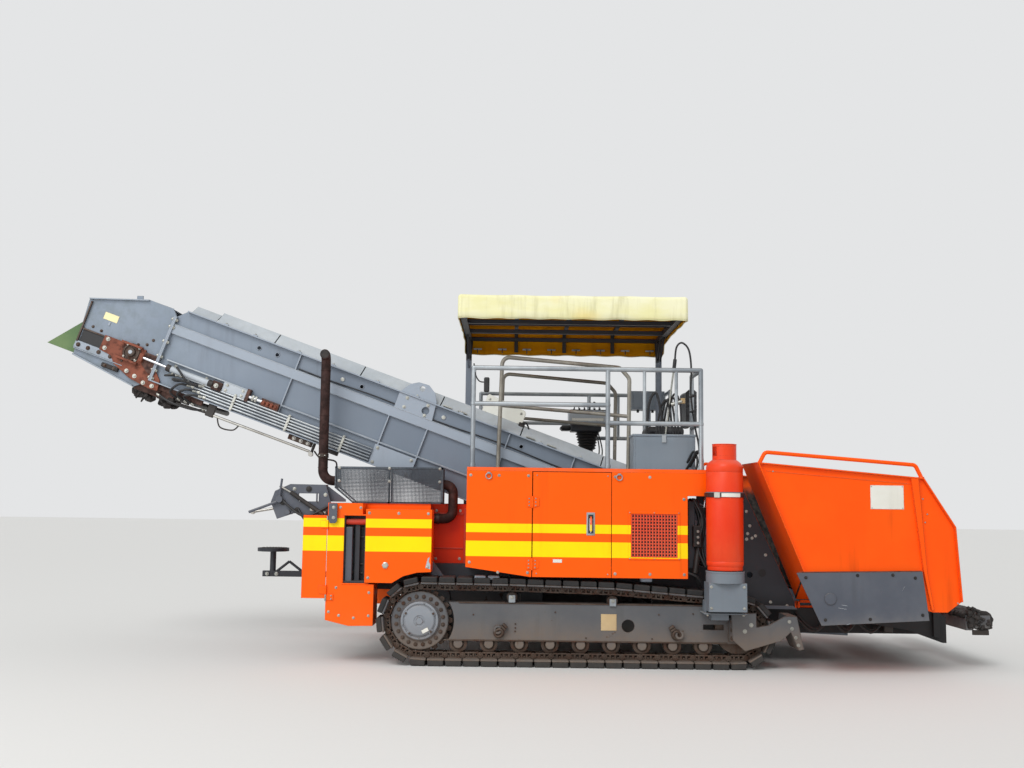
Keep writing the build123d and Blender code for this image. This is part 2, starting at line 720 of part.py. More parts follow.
def boom_covers():
    """Pale hoods over the belt, a row of hat-shaped panels on the top flanges."""
    tilt = radians(boom_angle)
    half = boom_half_width
    wall = 8
    panels = []
    # along from, along to, height at the lower end, height at the upper end
    for along0, along1, low, high in ((-390, -10, 110, 110), (0, 800, 110, 110), (810, 1610, 110, 110),
                                      (1620, 2425, 110, 110), (2435, 3305, 110, 110),
                                      (3315, head_joint_along - 377, 110, 110),
                                      (head_joint_along - 367, head_joint_along - 117, 80, 80)):
        height = (low + high) / 2
        x, z = boom_point(along0, 0)
        start = Plane(origin=(x, 0, z), x_dir=(0, -1, 0), z_dir=(-cos(tilt), 0, sin(tilt)))
        section = make_face(Polyline((-half, 0), (-half + 110, height), (half - 110, height), (half, 0),
                                     (half - wall, 0), (half - 110 - wall / 2, height - wall),
                                     (-half + 110 + wall / 2, height - wall), (-half + wall, 0), close=True))
        panels.append(extrude(start * section, amount=along1 - along0))
    return panels


def boom_head():
    """Discharge head bolted to the boom's end flange."""
    outer = boom_half_width
    top_corner = boom_point(head_joint_along, 90)
    low_corner = boom_point(head_joint_along, boom_depth)
    roof_rear, roof_front = head_point(586, -345), head_point(41, -530)
    outline = [roof_rear, roof_front, head_point(-203, -532), top_corner, low_corner,
               head_point(-126, 299), head_point(527, 216), head_point(537, 113)]
    side = plate_xz(outline, -outer, -outer + boom_web)
    flange = boom_block((head_joint_along, head_joint_along + 14), (90, boom_depth),
                        (-outer - flange_reach, -outer + boom_web))
    rim_y = (-outer - 25, -outer + 1)
    rim = plate_xz([roof_rear, roof_front, head_point(37, -519), head_point(574, -337)], *rim_y)
    lower_rim = plate_xz([head_point(527, 216), head_point(-126, 299), head_point(-121, 286),
                          head_point(527, 201)], *rim_y)
    pieces = []
    for piece in (side, flange, rim, lower_rim):
        pieces += both_sides(piece)
    inside_y = (-outer + 1, outer - 1)
    pieces.append(plate_xz([roof_rear, roof_front, head_point(38, -520), head_point(581, -337)], *inside_y))
    pieces.append(plate_xz([roof_front, head_point(-193, -528), head_point(-194, -517), head_point(41, -519)],
                           *inside_y))
    pieces.append(plate_xz([roof_rear, head_point(537, 113), head_point(524, 113), head_point(575, -349)],
                           *inside_y))
    # lifting eye
    eye_x, eye_z = head_point(131, -499)
    pieces.append(block((eye_x - 30, eye_x + 30), (-outer, -outer + 12), (eye_z, eye_z + 37)))
    head = union(pieces)
    return head


def chute_tip():
    """Pointed green visor at the discharge."""
    half = 570
    shell = plate_xz([head_point(563, -122), head_point(814, 195), head_point(529, 196),
                      head_point(537, 113)], -half, half)
    hollow = plate_xz([head_point(545, -114), head_point(795, 189), head_point(541, 190),
                       head_point(518, 106)], -half + 8, half - 8)
    return shell - hollow


def belt_tensioner():
    """Slide block with the head drum's bearing, and its tensioning cylinder."""
    outer = boom_half_width
    drum = head_drum_along
    rod_below = drum_below - 15
    x, z = boom_point(drum, drum_below)
    return union([
        boom_block((drum - 210, drum + 360), (drum_below - 90, drum_below + 90), (-outer - 30, -outer)),
        boom_block((drum - 160, drum + 220), (drum_below - 60, drum_below + 60), (-outer - 62, -outer - 29)),
        cross_rod(x, z, -outer - 90, -outer - 29, 66),
        boom_rod((drum - 40, -outer - 76, rod_below), (drum - 400, -outer - 76, rod_below), 15),
        boom_rod((drum - 400, -outer - 76, rod_below), (drum - 840, -outer - 76, rod_below), 32),
        boom_block((drum - 900, drum - 750), (drum_below - 60, drum_below + 30), (-outer - 110, -outer - 41)),
        boom_block((drum - 900, drum - 750), (drum_below - 60, drum_below + 30), (-outer - 42, -outer)),
    ])


def belt_scraper():
    """Scraper beam under the head's return run."""
    outer = boom_half_width
    joint = head_joint_along
    pieces = []
    for arm in both_sides(boom_block((joint - 557, joint - 37), (boom_depth, boom_depth + 95), (-outer, -outer + 40))):
        pieces.append(arm)
    for along, below, radius in ((joint - 87, boom_depth + 50, 36), (joint - 477, boom_depth + 50, 28)):
        x, z = boom_point(along, below)
        pieces.append(cross_rod(x, z, -outer + 30, outer - 30, radius))
    wiper_along = (joint - 127, joint - 52)
    pieces.append(boom_block(wiper_along, (boom_depth + 90, boom_depth + 175), (-outer + 60, -outer + 320)))
    pieces.append(boom_block(wiper_along, (boom_depth + 75, boom_depth + 96), (-outer + 20, -outer + 330)))
    return union(pieces)


def boom_pipes():
    """Hard hydraulic lines clamped along the boom's right web."""
    outer = boom_half_width
    pieces = []
    for index in range(5):
        below = 606 + index * 28
        end_along = head_joint_along - 277 - index * 70
        pieces.append(boom_rod((2200, -outer - 53, below), (end_along, -outer - 53, below), 10))
    for along in (2350, 2900, 3450):
        pieces.append(boom_block((along - 15, along + 15), (594, 734), (-outer - 66, -outer - 40)))
        pieces.append(boom_block((along - 15, along + 15), (594, 734), (-outer - 41, -outer)))
    return union(pieces)


def return_rollers():
    """Rollers under the return run, seen from below."""
    shaft = boom_half_width - boom_web
    below = drum_below + drum_radius + belt_thickness + 24 + seat
    rollers = []
    for along in (-1500, -300, 560, 1800, 3000, head_joint_along - 377):
        x, z = boom_point(along, below)
        rollers.append(union([cross_rod(x, z, -belt_width / 2, belt_width / 2, 24),
                              cross_rod(x, z, -shaft, shaft, 10)]))
    return rollers


# Lift cylinders

def lift_barrels():
    foot = Vector(lift_foot[0], 0, lift_foot[1])
    head = Vector(lift_head[0], 0, lift_head[1])
    line = (head - foot).normalized()
    solids = []
    for y in (-lift_y, lift_y):
        base = foot + Vector(0, y, 0)
        start = base + line * 75
        end = base + line * 470
        barrel = rod(start, end, 55)
        bore_start = base + line * 120
        barrel -= rod(bore_start, end + line, lift_rod_radius + seat)
        eye = cross_rod(*lift_foot, y - 25, y + 25, 42)
        neck = rod(base + line * 20, base + line * 80, 28)
        pin = cross_rod(*lift_foot, y - 55, y + 55, lift_pin_radius)
        solids.append(union([barrel, eye, neck, pin]))
    return solids


def lift_rods():
    foot = Vector(lift_foot[0], 0, lift_foot[1])
    head = Vector(lift_head[0], 0, lift_head[1])
    line = (head - foot).normalized()
    length = (head - foot).length
    solids = []
    for y in (-lift_y, lift_y):
        base = foot + Vector(0, y, 0)
        shaft = rod(base + line * 280, base + line * (length - 20), lift_rod_radius)
        eye = cross_rod(*lift_head, y - 25, y + 25, 40)
        pin = cross_rod(*lift_head, y - 55, y + 55, lift_pin_radius)
        solids.append(union([shaft, eye, pin]))
    return solids


# Hopper

wing_outline = [(2164, 1798), (3593, 1680), (3856, 1264), (3897, 632), (3774, 540), (3647, 540), (2547, 866)]


def wing():
    """Folding hopper wing: outer wall, rear wall, sloping floor, ribs and handrail."""
    outer_y = -wing_outer_y
    wall = plate_xz(wing_outline, outer_y, outer_y + plate)
    hinge_y, hinge_z = -wing_hinge_y, wing_hinge_z
    (top_x, top_z), (low_x, low_z) = wing_outline[0], wing_outline[-1]
    rear_slope = (low_x - top_x) / (top_z - low_z)
    foot_y, foot_z = hinge_y - 12, hinge_z + 30

    def rear_x(z):
        return top_x + rear_slope * (top_z - z)

    # rear wall in the plane of the slanted rear edge
    rear = extrude(make_face(Polyline(
        (top_x, outer_y, top_z), (low_x, outer_y, low_z), (rear_x(foot_z), foot_y, foot_z),
        (top_x, -880, top_z), close=True)), amount=plate, dir=(1, 0, 0))
    # floor in two flat triangles, from the wall down to the hinge
    outer_rear, outer_front = (2560, outer_y + 1, 850), (3774, outer_y + 1, 600)
    hinge_rear, hinge_front = (rear_x(foot_z), foot_y, foot_z), (3774, foot_y, foot_z - 15)
    floor = union(
        extrude(make_face(Polyline(*corners, close=True)), amount=plate, dir=(0, 0, -1))
        for corners in ((outer_rear, outer_front, hinge_front), (outer_rear, hinge_front, hinge_rear)))
    top_flange = plate_xz([(2164, 1798), (3593, 1680), (3593, 1668), (2164, 1786)], outer_y - 28, outer_y + 60)
    front_flange = plate_xz([(3593, 1680), (3856, 1264), (3897, 632), (3884, 632), (3844, 1260), (3585, 1670)],
                            outer_y - 28, outer_y + 60)
    rear_flange = plate_xz([(2164, 1798), (2547, 866), (2560, 866), (2178, 1798)], outer_y - 28, outer_y + 1)
    rib = plate_xz([(3480, 1685), (3545, 1682), (3600, 882), (3650, 560), (3630, 560), (3570, 882)],
                   outer_y - 26, outer_y + 1)
    hinge = union([
        rod((2700, hinge_y, hinge_z), (3700, hinge_y, hinge_z), 14),
        block((2700, 3700), (hinge_y - 20, hinge_y), (hinge_z, hinge_z + 12)),
    ])
    rail = bent_pipe([(2185, outer_y, 1790), (2234, outer_y, 1885), (3527, outer_y, 1790), (3580, outer_y, 1680)],
                     17, 40)
    return union([wall, rear, floor, top_flange, front_flange, rear_flange, rib, hinge, rail])


def skirt():
    """Dark lower plate outside the wing, with its round boss."""
    side = plate_xz([(2483, 860), (3553, 883), (3601, 474), (2688, 421)], -skirt_outer_y, -skirt_outer_y + plate)
    spacer = block((2760, 3380), (-skirt_outer_y + plate, -wing_outer_y), (800, 850))
    boss = cross_rod(2764, 647, -skirt_outer_y - 12, -skirt_outer_y, 48)
    return union([side, spacer, boss])


def hopper_floor():
    """Fixed floor, rear wall over the boom and the strips the wings hinge on."""
    pieces = []
    for sign in (-1, 1):
        def across(a, b):
            return (a, b) if sign > 0 else (-b, -a)
        pieces.append(block((2620, 3900), across(650, 770), (500, 520)))
        # lugs that hold the ends of the wing's hinge rod
        for x0, x1 in ((2680, 2700 - seat), (3700 + seat, 3720)):
            pieces.append(block((x0, x1), across(700, 801), (500, 560)))
        # lug beside the end of the front flap's hinge rod
        pieces.append(block((3810, 3850), across(700 + seat, 720), (520, 580)))
        upright = plate_xz([(2150, 1640), (2640, 560), (2660, 500), (2640, 500), (2130, 1640)], 655, 849)
        pieces.append(upright if sign > 0 else mirror(upright, about=Plane.XZ))
        pieces.append(block((2880, 3100), across(700, 712), (500, 880)))
    pieces.append(block((3230, 3900), (-660, 660), (500, 520)))
    pieces.append(plate_xz([(2150, 1640), (2110, 1730), (2090, 1730), (2130, 1640), (2200, 1480), (2220, 1480)],
                           -849, 849))
    return union(pieces)


def auger():
    """Conical feed auger: a shaft with slanting flights that grow outward."""
    pieces = [cross_rod(auger_x, auger_z, -auger_outer_y, -auger_inner_y, 45)]
    flights = 6
    flight_slant = 14
    for index in range(flights):
        share = index / (flights - 1)
        y = -auger_inner_y - 60 - share * (auger_outer_y - auger_inner_y - 120)
        radius = 110 + share * (auger_radius - 110)
        disc = Cylinder(radius, 12)
        pieces.append(Pos(auger_x, y, auger_z) * Rot(90 - flight_slant, 0, 0) * disc)
    return union(pieces)


def apron():
    """Front flap of the hopper, hinged along its foot."""
    hinge_x, hinge_z = 3830, 560
    panel = block((hinge_x - 8, hinge_x + 8), (-700, 700), (hinge_z, 1010))
    pieces = [panel, cross_rod(hinge_x, hinge_z, -700, 700, 16),
              block((hinge_x - 30, hinge_x + 8), (-700, 700), (1000, 1012))]
    return union(pieces)


# Push rollers

def push_beam():
    beam_x = push_pivot_x + 50
    beam = block((beam_x, beam_x + 65), (-1000, 1000), (340, 440))
    arms = []
    for y in (-1000, -60, 1000 - 20, 40):
        arms.append(block((beam_x, push_roller_x + 40), (y, y + 20), (360, 470)))
    knuckle = block((push_pivot_x - 45, beam_x + 10), (-60, 60), (335, 445))
    pin = Pos(push_pivot_x, 0, 390) * Cylinder(30, 180)
    return union([beam, knuckle, pin] + arms)


def push_roller():
    return union([
        cross_rod(push_roller_x, push_roller_z, -push_roller_outer_y + 12, -push_roller_inner_y + 18,
                  push_roller_radius),
        cross_rod(push_roller_x, push_roller_z, -push_roller_outer_y, -push_roller_inner_y + 30, 22),
    ])


# Platform

def railing(side_sign):
    """Galvanised rails round one walkway."""
    y = side_sign * 1200
    rear_x, mid_x, front_x = -300, 903, 1735
    top, radius = 2622, 21
    pieces = []
    for x in (rear_x, mid_x, front_x):
        pieces.append(rod((x, y, deck_top), (x, y, top), radius))
    pieces.append(rod((rear_x, y, top), (front_x, y, top), radius))
    pieces.append(rod((rear_x, y, 2300), (mid_x, y, 2300), radius))
    pieces.append(rod((mid_x, y, 2140), (front_x, y, 2140), radius))
    for x in (1230, 1515):
        pieces.append(rod((x, y, 2140), (x, y, top), 15))
    for x in (rear_x, mid_x, front_x):
        pieces.append(Pos(x, y, top) * Sphere(radius))
    inner_y = side_sign * 700
    pieces.append(rod((front_x, y, top), (front_x, inner_y, top), radius))
    pieces.append(rod((front_x, y, 2140), (front_x, inner_y, 2140), radius))
    pieces.append(rod((front_x, inner_y, deck_top), (front_x, inner_y, top), radius))
    pieces.append(Pos(front_x, inner_y, top) * Sphere(radius))
    return union(pieces)


def inner_rail(side_sign):
    """Bent pipe rail beside the boom."""
    y = side_sign * 690
    foot = deck_top + 2 * seat
    hoop = bent_pipe([(-80, y, foot), (-50, y, 2790), (1060, y, 2700), (1150, y, 2600), (1140, y, foot)], 19, 70)
    bar = rod((-66, y, 2330), (1144, y, 2240), 17)
    return hoop + bar


def canopy_frame():
    """Posts on the left and the roof frame with its cross bars."""
    pieces = []
    roof_z = (canopy_top - 197, canopy_top - 157)
    inset = canopy_wall + seat
    rear_post_x, front_post_x = canopy_rear_x + inset, canopy_front_x - inset - 60
    for x in (rear_post_x, front_post_x):
        pieces.append(block((x, x + 60), (canopy_right_y + inset, canopy_left_y - inset), roof_z))
    for y in (canopy_right_y + inset, -430, 180, canopy_left_y - inset - 40):
        pieces.append(block((rear_post_x, front_post_x + 60), (y, y + 40), roof_z))
    pieces.append(block((rear_post_x, rear_post_x + 60), (720, 780), (1400, roof_z[1])))
    pieces.append(block((front_post_x, front_post_x + 60), (720, 780), (deck_top, roof_z[1])))
    for x in (rear_post_x, front_post_x):
        pieces.append(plate_yz([(740, roof_z[0] - 300), (720, roof_z[0] - 300), (300, roof_z[0] + 1),
                                 (360, roof_z[0] + 1)], x + 20, x + 40))
    return union(pieces)


def canopy_cover():
    """Fabric roof: a shallow crowned sheet with a hanging skirt."""
    x0, x1 = canopy_rear_x, canopy_front_x
    y0, y1 = canopy_right_y, canopy_left_y
    wall = canopy_wall
    roof = block((x0, x1), (y0, y1), (canopy_top - 147, canopy_top - 40))
    crown = plate_yz([(y0, canopy_top - 41), (y1, canopy_top - 41), (y1, canopy_top - 34), (100, canopy_top),
                      (-300, canopy_top), (y0, canopy_top - 12)], x0, x1)
    shell = roof + crown
    shell += block((x0, x1), (y0, y1), (canopy_top - canopy_skirt, canopy_top - 146))
    shell -= block((x0 + wall, x1 - wall), (y0 + wall, y1 - wall), (canopy_top - canopy_skirt - 1, canopy_top - 50))
    return shell


def console():
    """Control desk on a pedestal on the left walkway."""
    x0, x1 = 650, 1080
    y0, y1 = 760, 1080
    desk = plate_xz([(x0, 2400), (x1, 2400), (x1, 2500), (x0 + 40, 2540), (x0, 2520)], y0, y1)
    body = block((x0 + 60, x1 - 60), (y0 + 30, y1 - 30), (2240, 2401))
    column = block((x0 + 140, x1 - 140), (y0 + 80, y1 - 80), (deck_top, 2241))
    foot = block((x0 + 90, x1 - 90), (y0 + 40, y1 - 40), (deck_top, deck_top + 20))
    return union([desk, body, column, foot])


def seat_chair():
    """Operator's seat on its post, on the floor over the boom."""
    x, y = seat_x, 0
    base = union([block((x - 150, x + 150), (y - 150, y + 150), (deck_top, deck_top + 15)),
                  rod((x, y, deck_top + 14), (x, y, 2080), 45),
                  block((x - 200, x + 200), (y - 200, y + 200), (2060, 2090))])
    return base


def seat_cushions():
    x, y = seat_x, 0
    cushion = block((x - 230, x + 230), (y - 240, y + 240), (2090 + seat, 2180))
    back = plate_xz([(x + 160, 2180), (x + 250, 2180), (x + 300, 2560), (x + 220, 2560)], y - 225, y + 225)
    return cushion + back


def locker():
    return block((1150, 1715), (-1010, -730), (deck_top, 2050))


def panel_box():
    """Switch cabinet on the left front rail post."""
    x0, x1 = 1340, 1700
    body = block((x0, x1), (880, 1100), (2440, 2640))
    post = block((1500, 1560), (960, 1020), (deck_top, 2441))
    return body + post


# Gas bottle

def gas_bottle():
    base_z, shoulder_z, top_z = 866, 1740, 1955
    profile = Polyline((0, base_z), (bottle_radius - 12, base_z), (bottle_radius, base_z + 12),
                       (bottle_radius, shoulder_z), (bottle_radius * 0.84, shoulder_z + 62), (62, shoulder_z + 105),
                       (62, shoulder_z + 120), (0, shoulder_z + 120), close=True)
    body = revolve(Plane.XZ * make_face(profile), axis=Axis.Z)
    collar = Pos(0, 0, (shoulder_z + 70 + top_z) / 2) * Cylinder(100, top_z - shoulder_z - 70)
    collar -= Pos(0, 0, (shoulder_z + 130 + top_z) / 2 + 1) * Cylinder(94, top_z - shoulder_z - 130)
    collar -= Pos(100, 0, shoulder_z + 165) * Box(120, 110, 60)
    valve = Pos(0, 0, shoulder_z + 150) * Cylinder(22, 80)
    return Pos(bottle_x, bottle_y, 0) * union([body, collar, valve])


def bottle_holder():
    """Bracket on the track frame with a cup below and a strap round the bottle."""
    cup_radius = bottle_radius + 6
    pieces = [
        block((1744, 2070), (-1500, -1262), (520, 762)),
        block((1800, 1950), (-1263, -frame_outer_y), (430, 525)),
        block((1800, 1950), (-1300, -1262), (430, 525)),
        Pos(bottle_x, bottle_y, 806) * Cylinder(cup_radius, 92),
    ]
    holder = union(pieces) - Pos(bottle_x, bottle_y, 900) * Cylinder(bottle_radius + 2 * seat, 68)
    bar_y = (bottle_y + cup_radius - 4, bottle_y + cup_radius + 14)
    holder += block((bottle_x - 40, bottle_x + 40), bar_y, (770, 1560))
    strap = Pos(bottle_x, bottle_y, 1515) * (Cylinder(cup_radius, 44) - Cylinder(bottle_radius + seat, 46))
    return holder + strap


# Engine and radiator

def engine():
    return block((-1320, -620), (-430, 430), (720, 1170))


def radiator():
    return block((-1500, -1420), (-560, 560), (720, 1200))


def main():
    write_pair("track", track_loop())
    write("track_frames", both_sides(track_frame()))
    write("sprockets", both_sides(sprocket()))
    write("idlers", both_sides(idler()))
    rollers = []
    for x in bottom_roller_places:
        rollers += both_sides(bottom_roller(x))
    for x, z in carrier_rollers:
        rollers += both_sides(carrier_roller(x, z))
    write("track_rollers", rollers)
    write("track_scrapers", both_sides(scraper()))
    write("main_frame", union([main_frame()] + both_sides(hopper_support())))
    write("side_bodies", both_sides(side_body()))
    write_pair("side_door", side_door())
    write("side_grilles", both_sides(side_grille()))
    write("deck", deck())
    write("rear_housing", rear_housing())
    write("tank_boxes", both_sides(tank_box()))
    write_pair("rear_flap", rear_flap())
    write("rear_linkage", rear_linkage())
    write("rear_step", rear_step())
    write("silencer_guard", silencer_guard())
    write("exhaust_pipes", [exhaust_stack(), exhaust_elbow()])
    write("engine_block", engine())
    write("radiator", radiator())
    write("boom_frame", boom_frame())
    write("boom_head", boom_head())
    write("boom_belt", boom_belt())
    write("belt_drums", belt_drums())
    write("return_rollers", return_rollers())
    write("boom_covers", boom_covers())
    write("chute_tip", chute_tip())
    write("belt_tensioners", both_sides(belt_tensioner()))
    write("belt_scraper", belt_scraper())
    write("boom_pipes", boom_pipes())
    write("lift_barrels", lift_barrels())
    write("lift_rods", lift_rods())
    write("hopper_floor", hopper_floor())
    write_pair("wing", wing())
    write_pair("wing_skirt", skirt())
    write_pair("auger", auger())
    write("front_apron", apron())
    write("push_beam", push_beam())
    write_pair("push_roller", push_roller())
    write("railings", [railing(-1), railing(1)])
    write("inner_rails", [inner_rail(-1), inner_rail(1)])
    write("canopy_frame", canopy_frame())
    write("canopy_cover", canopy_cover())
    write("control_console", console())
    write("seat_frame", seat_chair())
    write("seat_cushions", seat_cushions())
    write("cabinets", [locker(), panel_box()])
    write("gas_bottle", gas_bottle())
    write("bottle_holder", bottle_holder())


main()
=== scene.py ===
import bpy
import bmesh
import random
from functools import cached_property
from itertools import product
from math import acos, atan2, cos, hypot, pi, radians, sin, sqrt
from mathutils import Matrix, Vector, noise


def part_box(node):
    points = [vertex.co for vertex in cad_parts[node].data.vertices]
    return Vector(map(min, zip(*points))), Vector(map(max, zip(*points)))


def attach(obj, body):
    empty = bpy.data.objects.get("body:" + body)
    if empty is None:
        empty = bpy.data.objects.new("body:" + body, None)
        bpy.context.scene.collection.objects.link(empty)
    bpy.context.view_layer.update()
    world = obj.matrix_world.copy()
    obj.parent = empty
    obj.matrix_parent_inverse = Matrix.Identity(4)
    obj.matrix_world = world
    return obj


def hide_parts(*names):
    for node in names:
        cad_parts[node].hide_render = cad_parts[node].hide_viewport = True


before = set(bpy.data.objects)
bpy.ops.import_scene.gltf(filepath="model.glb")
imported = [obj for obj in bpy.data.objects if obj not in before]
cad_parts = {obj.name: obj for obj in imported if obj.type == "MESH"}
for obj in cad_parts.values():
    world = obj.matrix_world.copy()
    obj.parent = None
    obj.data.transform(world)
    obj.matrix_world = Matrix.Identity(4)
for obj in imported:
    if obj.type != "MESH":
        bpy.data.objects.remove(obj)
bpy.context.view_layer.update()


# Node trees

def srgb(red, green, blue):
    # a colour as a screen shows it, 0 to 255, in Blender's linear values
    def linear(value):
        value /= 255
        return value / 12.92 if value <= 0.04045 else ((value + 0.055) / 1.055) ** 2.4
    return (linear(red), linear(green), linear(blue), 1)


class Value:
    # an output of a node; sums, products and comparisons with it add math nodes to its tree
    def __init__(self, graph, socket):
        self.graph, self.socket = graph, socket

    def __add__(self, other):
        return self.graph.math("ADD", self, other)

    def __sub__(self, other):
        return self.graph.math("SUBTRACT", self, other)

    def __rsub__(self, other):
        return self.graph.math("SUBTRACT", other, self)

    def __mul__(self, other):
        return self.graph.math("MULTIPLY", self, other)

    def __truediv__(self, other):
        return self.graph.math("DIVIDE", self, other)

    def __gt__(self, other):
        return self.graph.math("GREATER_THAN", self, other)

    def __lt__(self, other):
        return self.graph.math("LESS_THAN", self, other)

    def __abs__(self):
        return self.graph.math("ABSOLUTE", self)

    def clamped(self):
        self.socket.node.use_clamp = True
        return self

    def ramp(self, low, high, toLow=0.0, toHigh=1.0):
        levels = {"Value": self, "From Min": low, "From Max": high, "To Min": toLow, "To Max": toHigh}
        return self.graph.get("MapRange", "Result", levels, interpolation_type="SMOOTHSTEP")


class Graph:
    # a node tree; colours go in as three numbers from 0 to 255
    def __init__(self, tree):
        self.tree = tree

    def plug(self, socket, value):
        if isinstance(value, Value):
            self.tree.links.new(value.socket, socket)
        elif socket.type == "RGBA":
            socket.default_value = srgb(*value)
        else:
            socket.default_value = value

    def node(self, kind, inputs=None, **settings):
        node = self.tree.nodes.new("ShaderNode" + kind)
        for key, value in settings.items():
            setattr(node, key, value)
        for key, value in (inputs or {}).items():
            self.plug(node.inputs[key], value)
        return node

    def get(self, kind, output, inputs=None, **settings):
        return Value(self, self.node(kind, inputs, **settings).outputs[output])

    place = cached_property(lambda self: self.get("TexCoord", "Object"))
    facing = cached_property(lambda self: self.get("TexCoord", "Normal"))

    def split(self, vector):
        return [Value(self, output) for output in self.node("SeparateXYZ", {0: vector}).outputs]

    def math(self, operation, first, second=0.0):
        return self.get("Math", 0, {0: first, 1: second}, operation=operation)

    def vectorMath(self, operation, output, first, second):
        return self.get("VectorMath", output, {0: first, 1: second}, operation=operation)

    def mix(self, share, first, second, blend="MIX"):
        return self.get("Mix", 2, {0: share, 6: first, 7: second}, data_type="RGBA", blend_type=blend)

    def noise(self, scale, detail, roughness, stretch=(1, 1, 1)):
        scaled = self.vectorMath("MULTIPLY", 0, self.place, stretch)
        return self.get("TexNoise", "Fac", {"Vector": scaled, "Scale": scale, "Detail": detail,
            "Roughness": roughness})

    def bevel(self, radius):
        return self.get("Bevel", 0, {"Radius": radius}, samples=4)

    def group(self, tree, **inputs):
        node = self.node("Group", node_tree=tree)
        for key, value in inputs.items():
            self.plug(node.inputs[key.replace("_", " ")], value)
        return {output.name: Value(self, output) for output in node.outputs}

    def give(self, **values):
        # what a group hands out; returns the finished tree
        out = self.tree.nodes.new("NodeGroupOutput").inputs
        for key, value in values.items():
            self.plug(out[key], value)
        return self.tree


def newGroup(name, outputs, **inputs):
    # numbers and colours come in; a normal, a colour or plain masks go out
    graph = Graph(bpy.data.node_groups.new(name, "ShaderNodeTree"))
    for label, value in inputs.items():
        colour = isinstance(value, tuple)
        socket = graph.tree.interface.new_socket(label.replace("_", " "), in_out="INPUT",
            socket_type="NodeSocketColor" if colour else "NodeSocketFloat")
        socket.default_value = srgb(*value) if colour else value
    for label in outputs.split():
        kind = {"Normal": "Vector", "Color": "Color"}.get(label, "Float")
        graph.tree.interface.new_socket(label, in_out="OUTPUT", socket_type="NodeSocket" + kind)
    given = graph.tree.nodes.new("NodeGroupInput").outputs
    return graph, {socket.name: Value(graph, socket) for socket in given}


# Shared effects

def makeEdgeWear():
    g, given = newGroup("edge wear", "Mask Normal", Radius=0.006, Amount=0.5, Scale=14.0)
    rounded = g.bevel(given["Radius"])
    turn = g.vectorMath("DOT_PRODUCT", "Value", rounded, g.get("NewGeometry", "Normal"))
    edge = ((1.0 - turn) * 5.0).clamped()
    broken = g.noise(given["Scale"], 5, 0.7) * 1.6 - 1.15
    wear = edge * 0.75 + (broken + given["Amount"] * 0.55)
    return g.give(Mask=wear.ramp(0.32, 0.5) * edge.ramp(0.02, 0.2), Normal=rounded)


def makeChips():
    # small spots where the finish is knocked off, in loose clusters
    g, given = newGroup("chips", "Mask", Amount=0.2, Scale=30.0)
    small = g.noise(given["Scale"], 6, 0.65)
    large = g.noise(given["Scale"] * 0.11, 2, 0.5)
    over = small * 0.62 + large * 0.38 - (0.72 - given["Amount"] * 0.22)
    return g.give(Mask=over.ramp(0.0, 0.012))


def makeWeather():
    # dust on faces that look up, streaks down the sides, spray near the ground
    g, given = newGroup("weather", "Dust Streaks Cloud", Dust=0.4, Streaks=0.3, Spray=0.3, Spray_Height=0.9)
    up, height = g.split(g.facing)[2], g.split(g.place)[2]
    cloud, grain = g.noise(2.2, 5, 0.62), g.noise(21, 5, 0.7)
    lying = up.ramp(0.25, 0.95) * grain.ramp(0.25, 0.75, 0.35, 1.0) * given["Dust"]
    low = (height / given["Spray Height"]).ramp(1.0, 0.1) + cloud * 0.5
    low = low.ramp(0.45, 1.2) * given["Spray"] * grain.ramp(0.2, 0.7, 0.5, 1.0)
    runs = g.noise(9, 4, 0.6, (1, 1, 0.09))
    streaks = runs.ramp(0.52, 0.78) * abs(up).ramp(0.7, 0.3) * cloud.ramp(0.35, 0.65, 0.2, 1.0)
    return g.give(Dust=g.math("MAXIMUM", lying, low), Streaks=streaks * given["Streaks"], Cloud=cloud)


edgeWear, chips, weather = makeEdgeWear(), makeChips(), makeWeather()


def makeWornPaint():
    # enamel over bare metal, with everything the years leave on it
    g, given = newGroup("worn paint", "Color Roughness Height Normal", Paint=(188, 188, 188),
        Faded=(202, 202, 202), Bare=(84, 62, 50), Dirt=(168, 160, 146), Fading=0.3, Gloss=0.4, Edges=0.4,
        Edge_Radius=0.005, Chips=0.2, Chip_Scale=30.0, Dust=0.4, Streaks=0.3, Spray=0.3, Spray_Height=0.9)
    air = g.group(weather, Dust=given["Dust"], Streaks=given["Streaks"], Spray=given["Spray"],
        Spray_Height=given["Spray Height"])
    edge = g.group(edgeWear, Radius=given["Edge Radius"], Amount=given["Edges"])
    chip = g.group(chips, Amount=given["Chips"], Scale=given["Chip Scale"])["Mask"]
    fine = g.noise(160, 3, 0.6)
    colour = g.mix(air["Cloud"].ramp(0.3, 0.75) * given["Fading"], given["Paint"], given["Faded"])
    dark = g.mix(1.0, colour, (120, 108, 98), "MULTIPLY")
    colour = g.mix(air["Streaks"] * 0.6, colour, dark)
    bare = g.math("MAXIMUM", edge["Mask"] * given["Edges"].ramp(0.0, 0.1), chip)
    rust = g.mix(fine.ramp(0.3, 0.7), given["Bare"], (52, 44, 40))
    colour = g.mix(air["Dust"], g.mix(bare, colour, rust), given["Dirt"])
    rough = (given["Gloss"] + fine * 0.08 + air["Dust"] * 0.4 + bare * 0.25).clamped()
    return g.give(Color=colour, Roughness=rough, Height=bare * -0.7 + fine * 0.12, Normal=edge["Normal"])


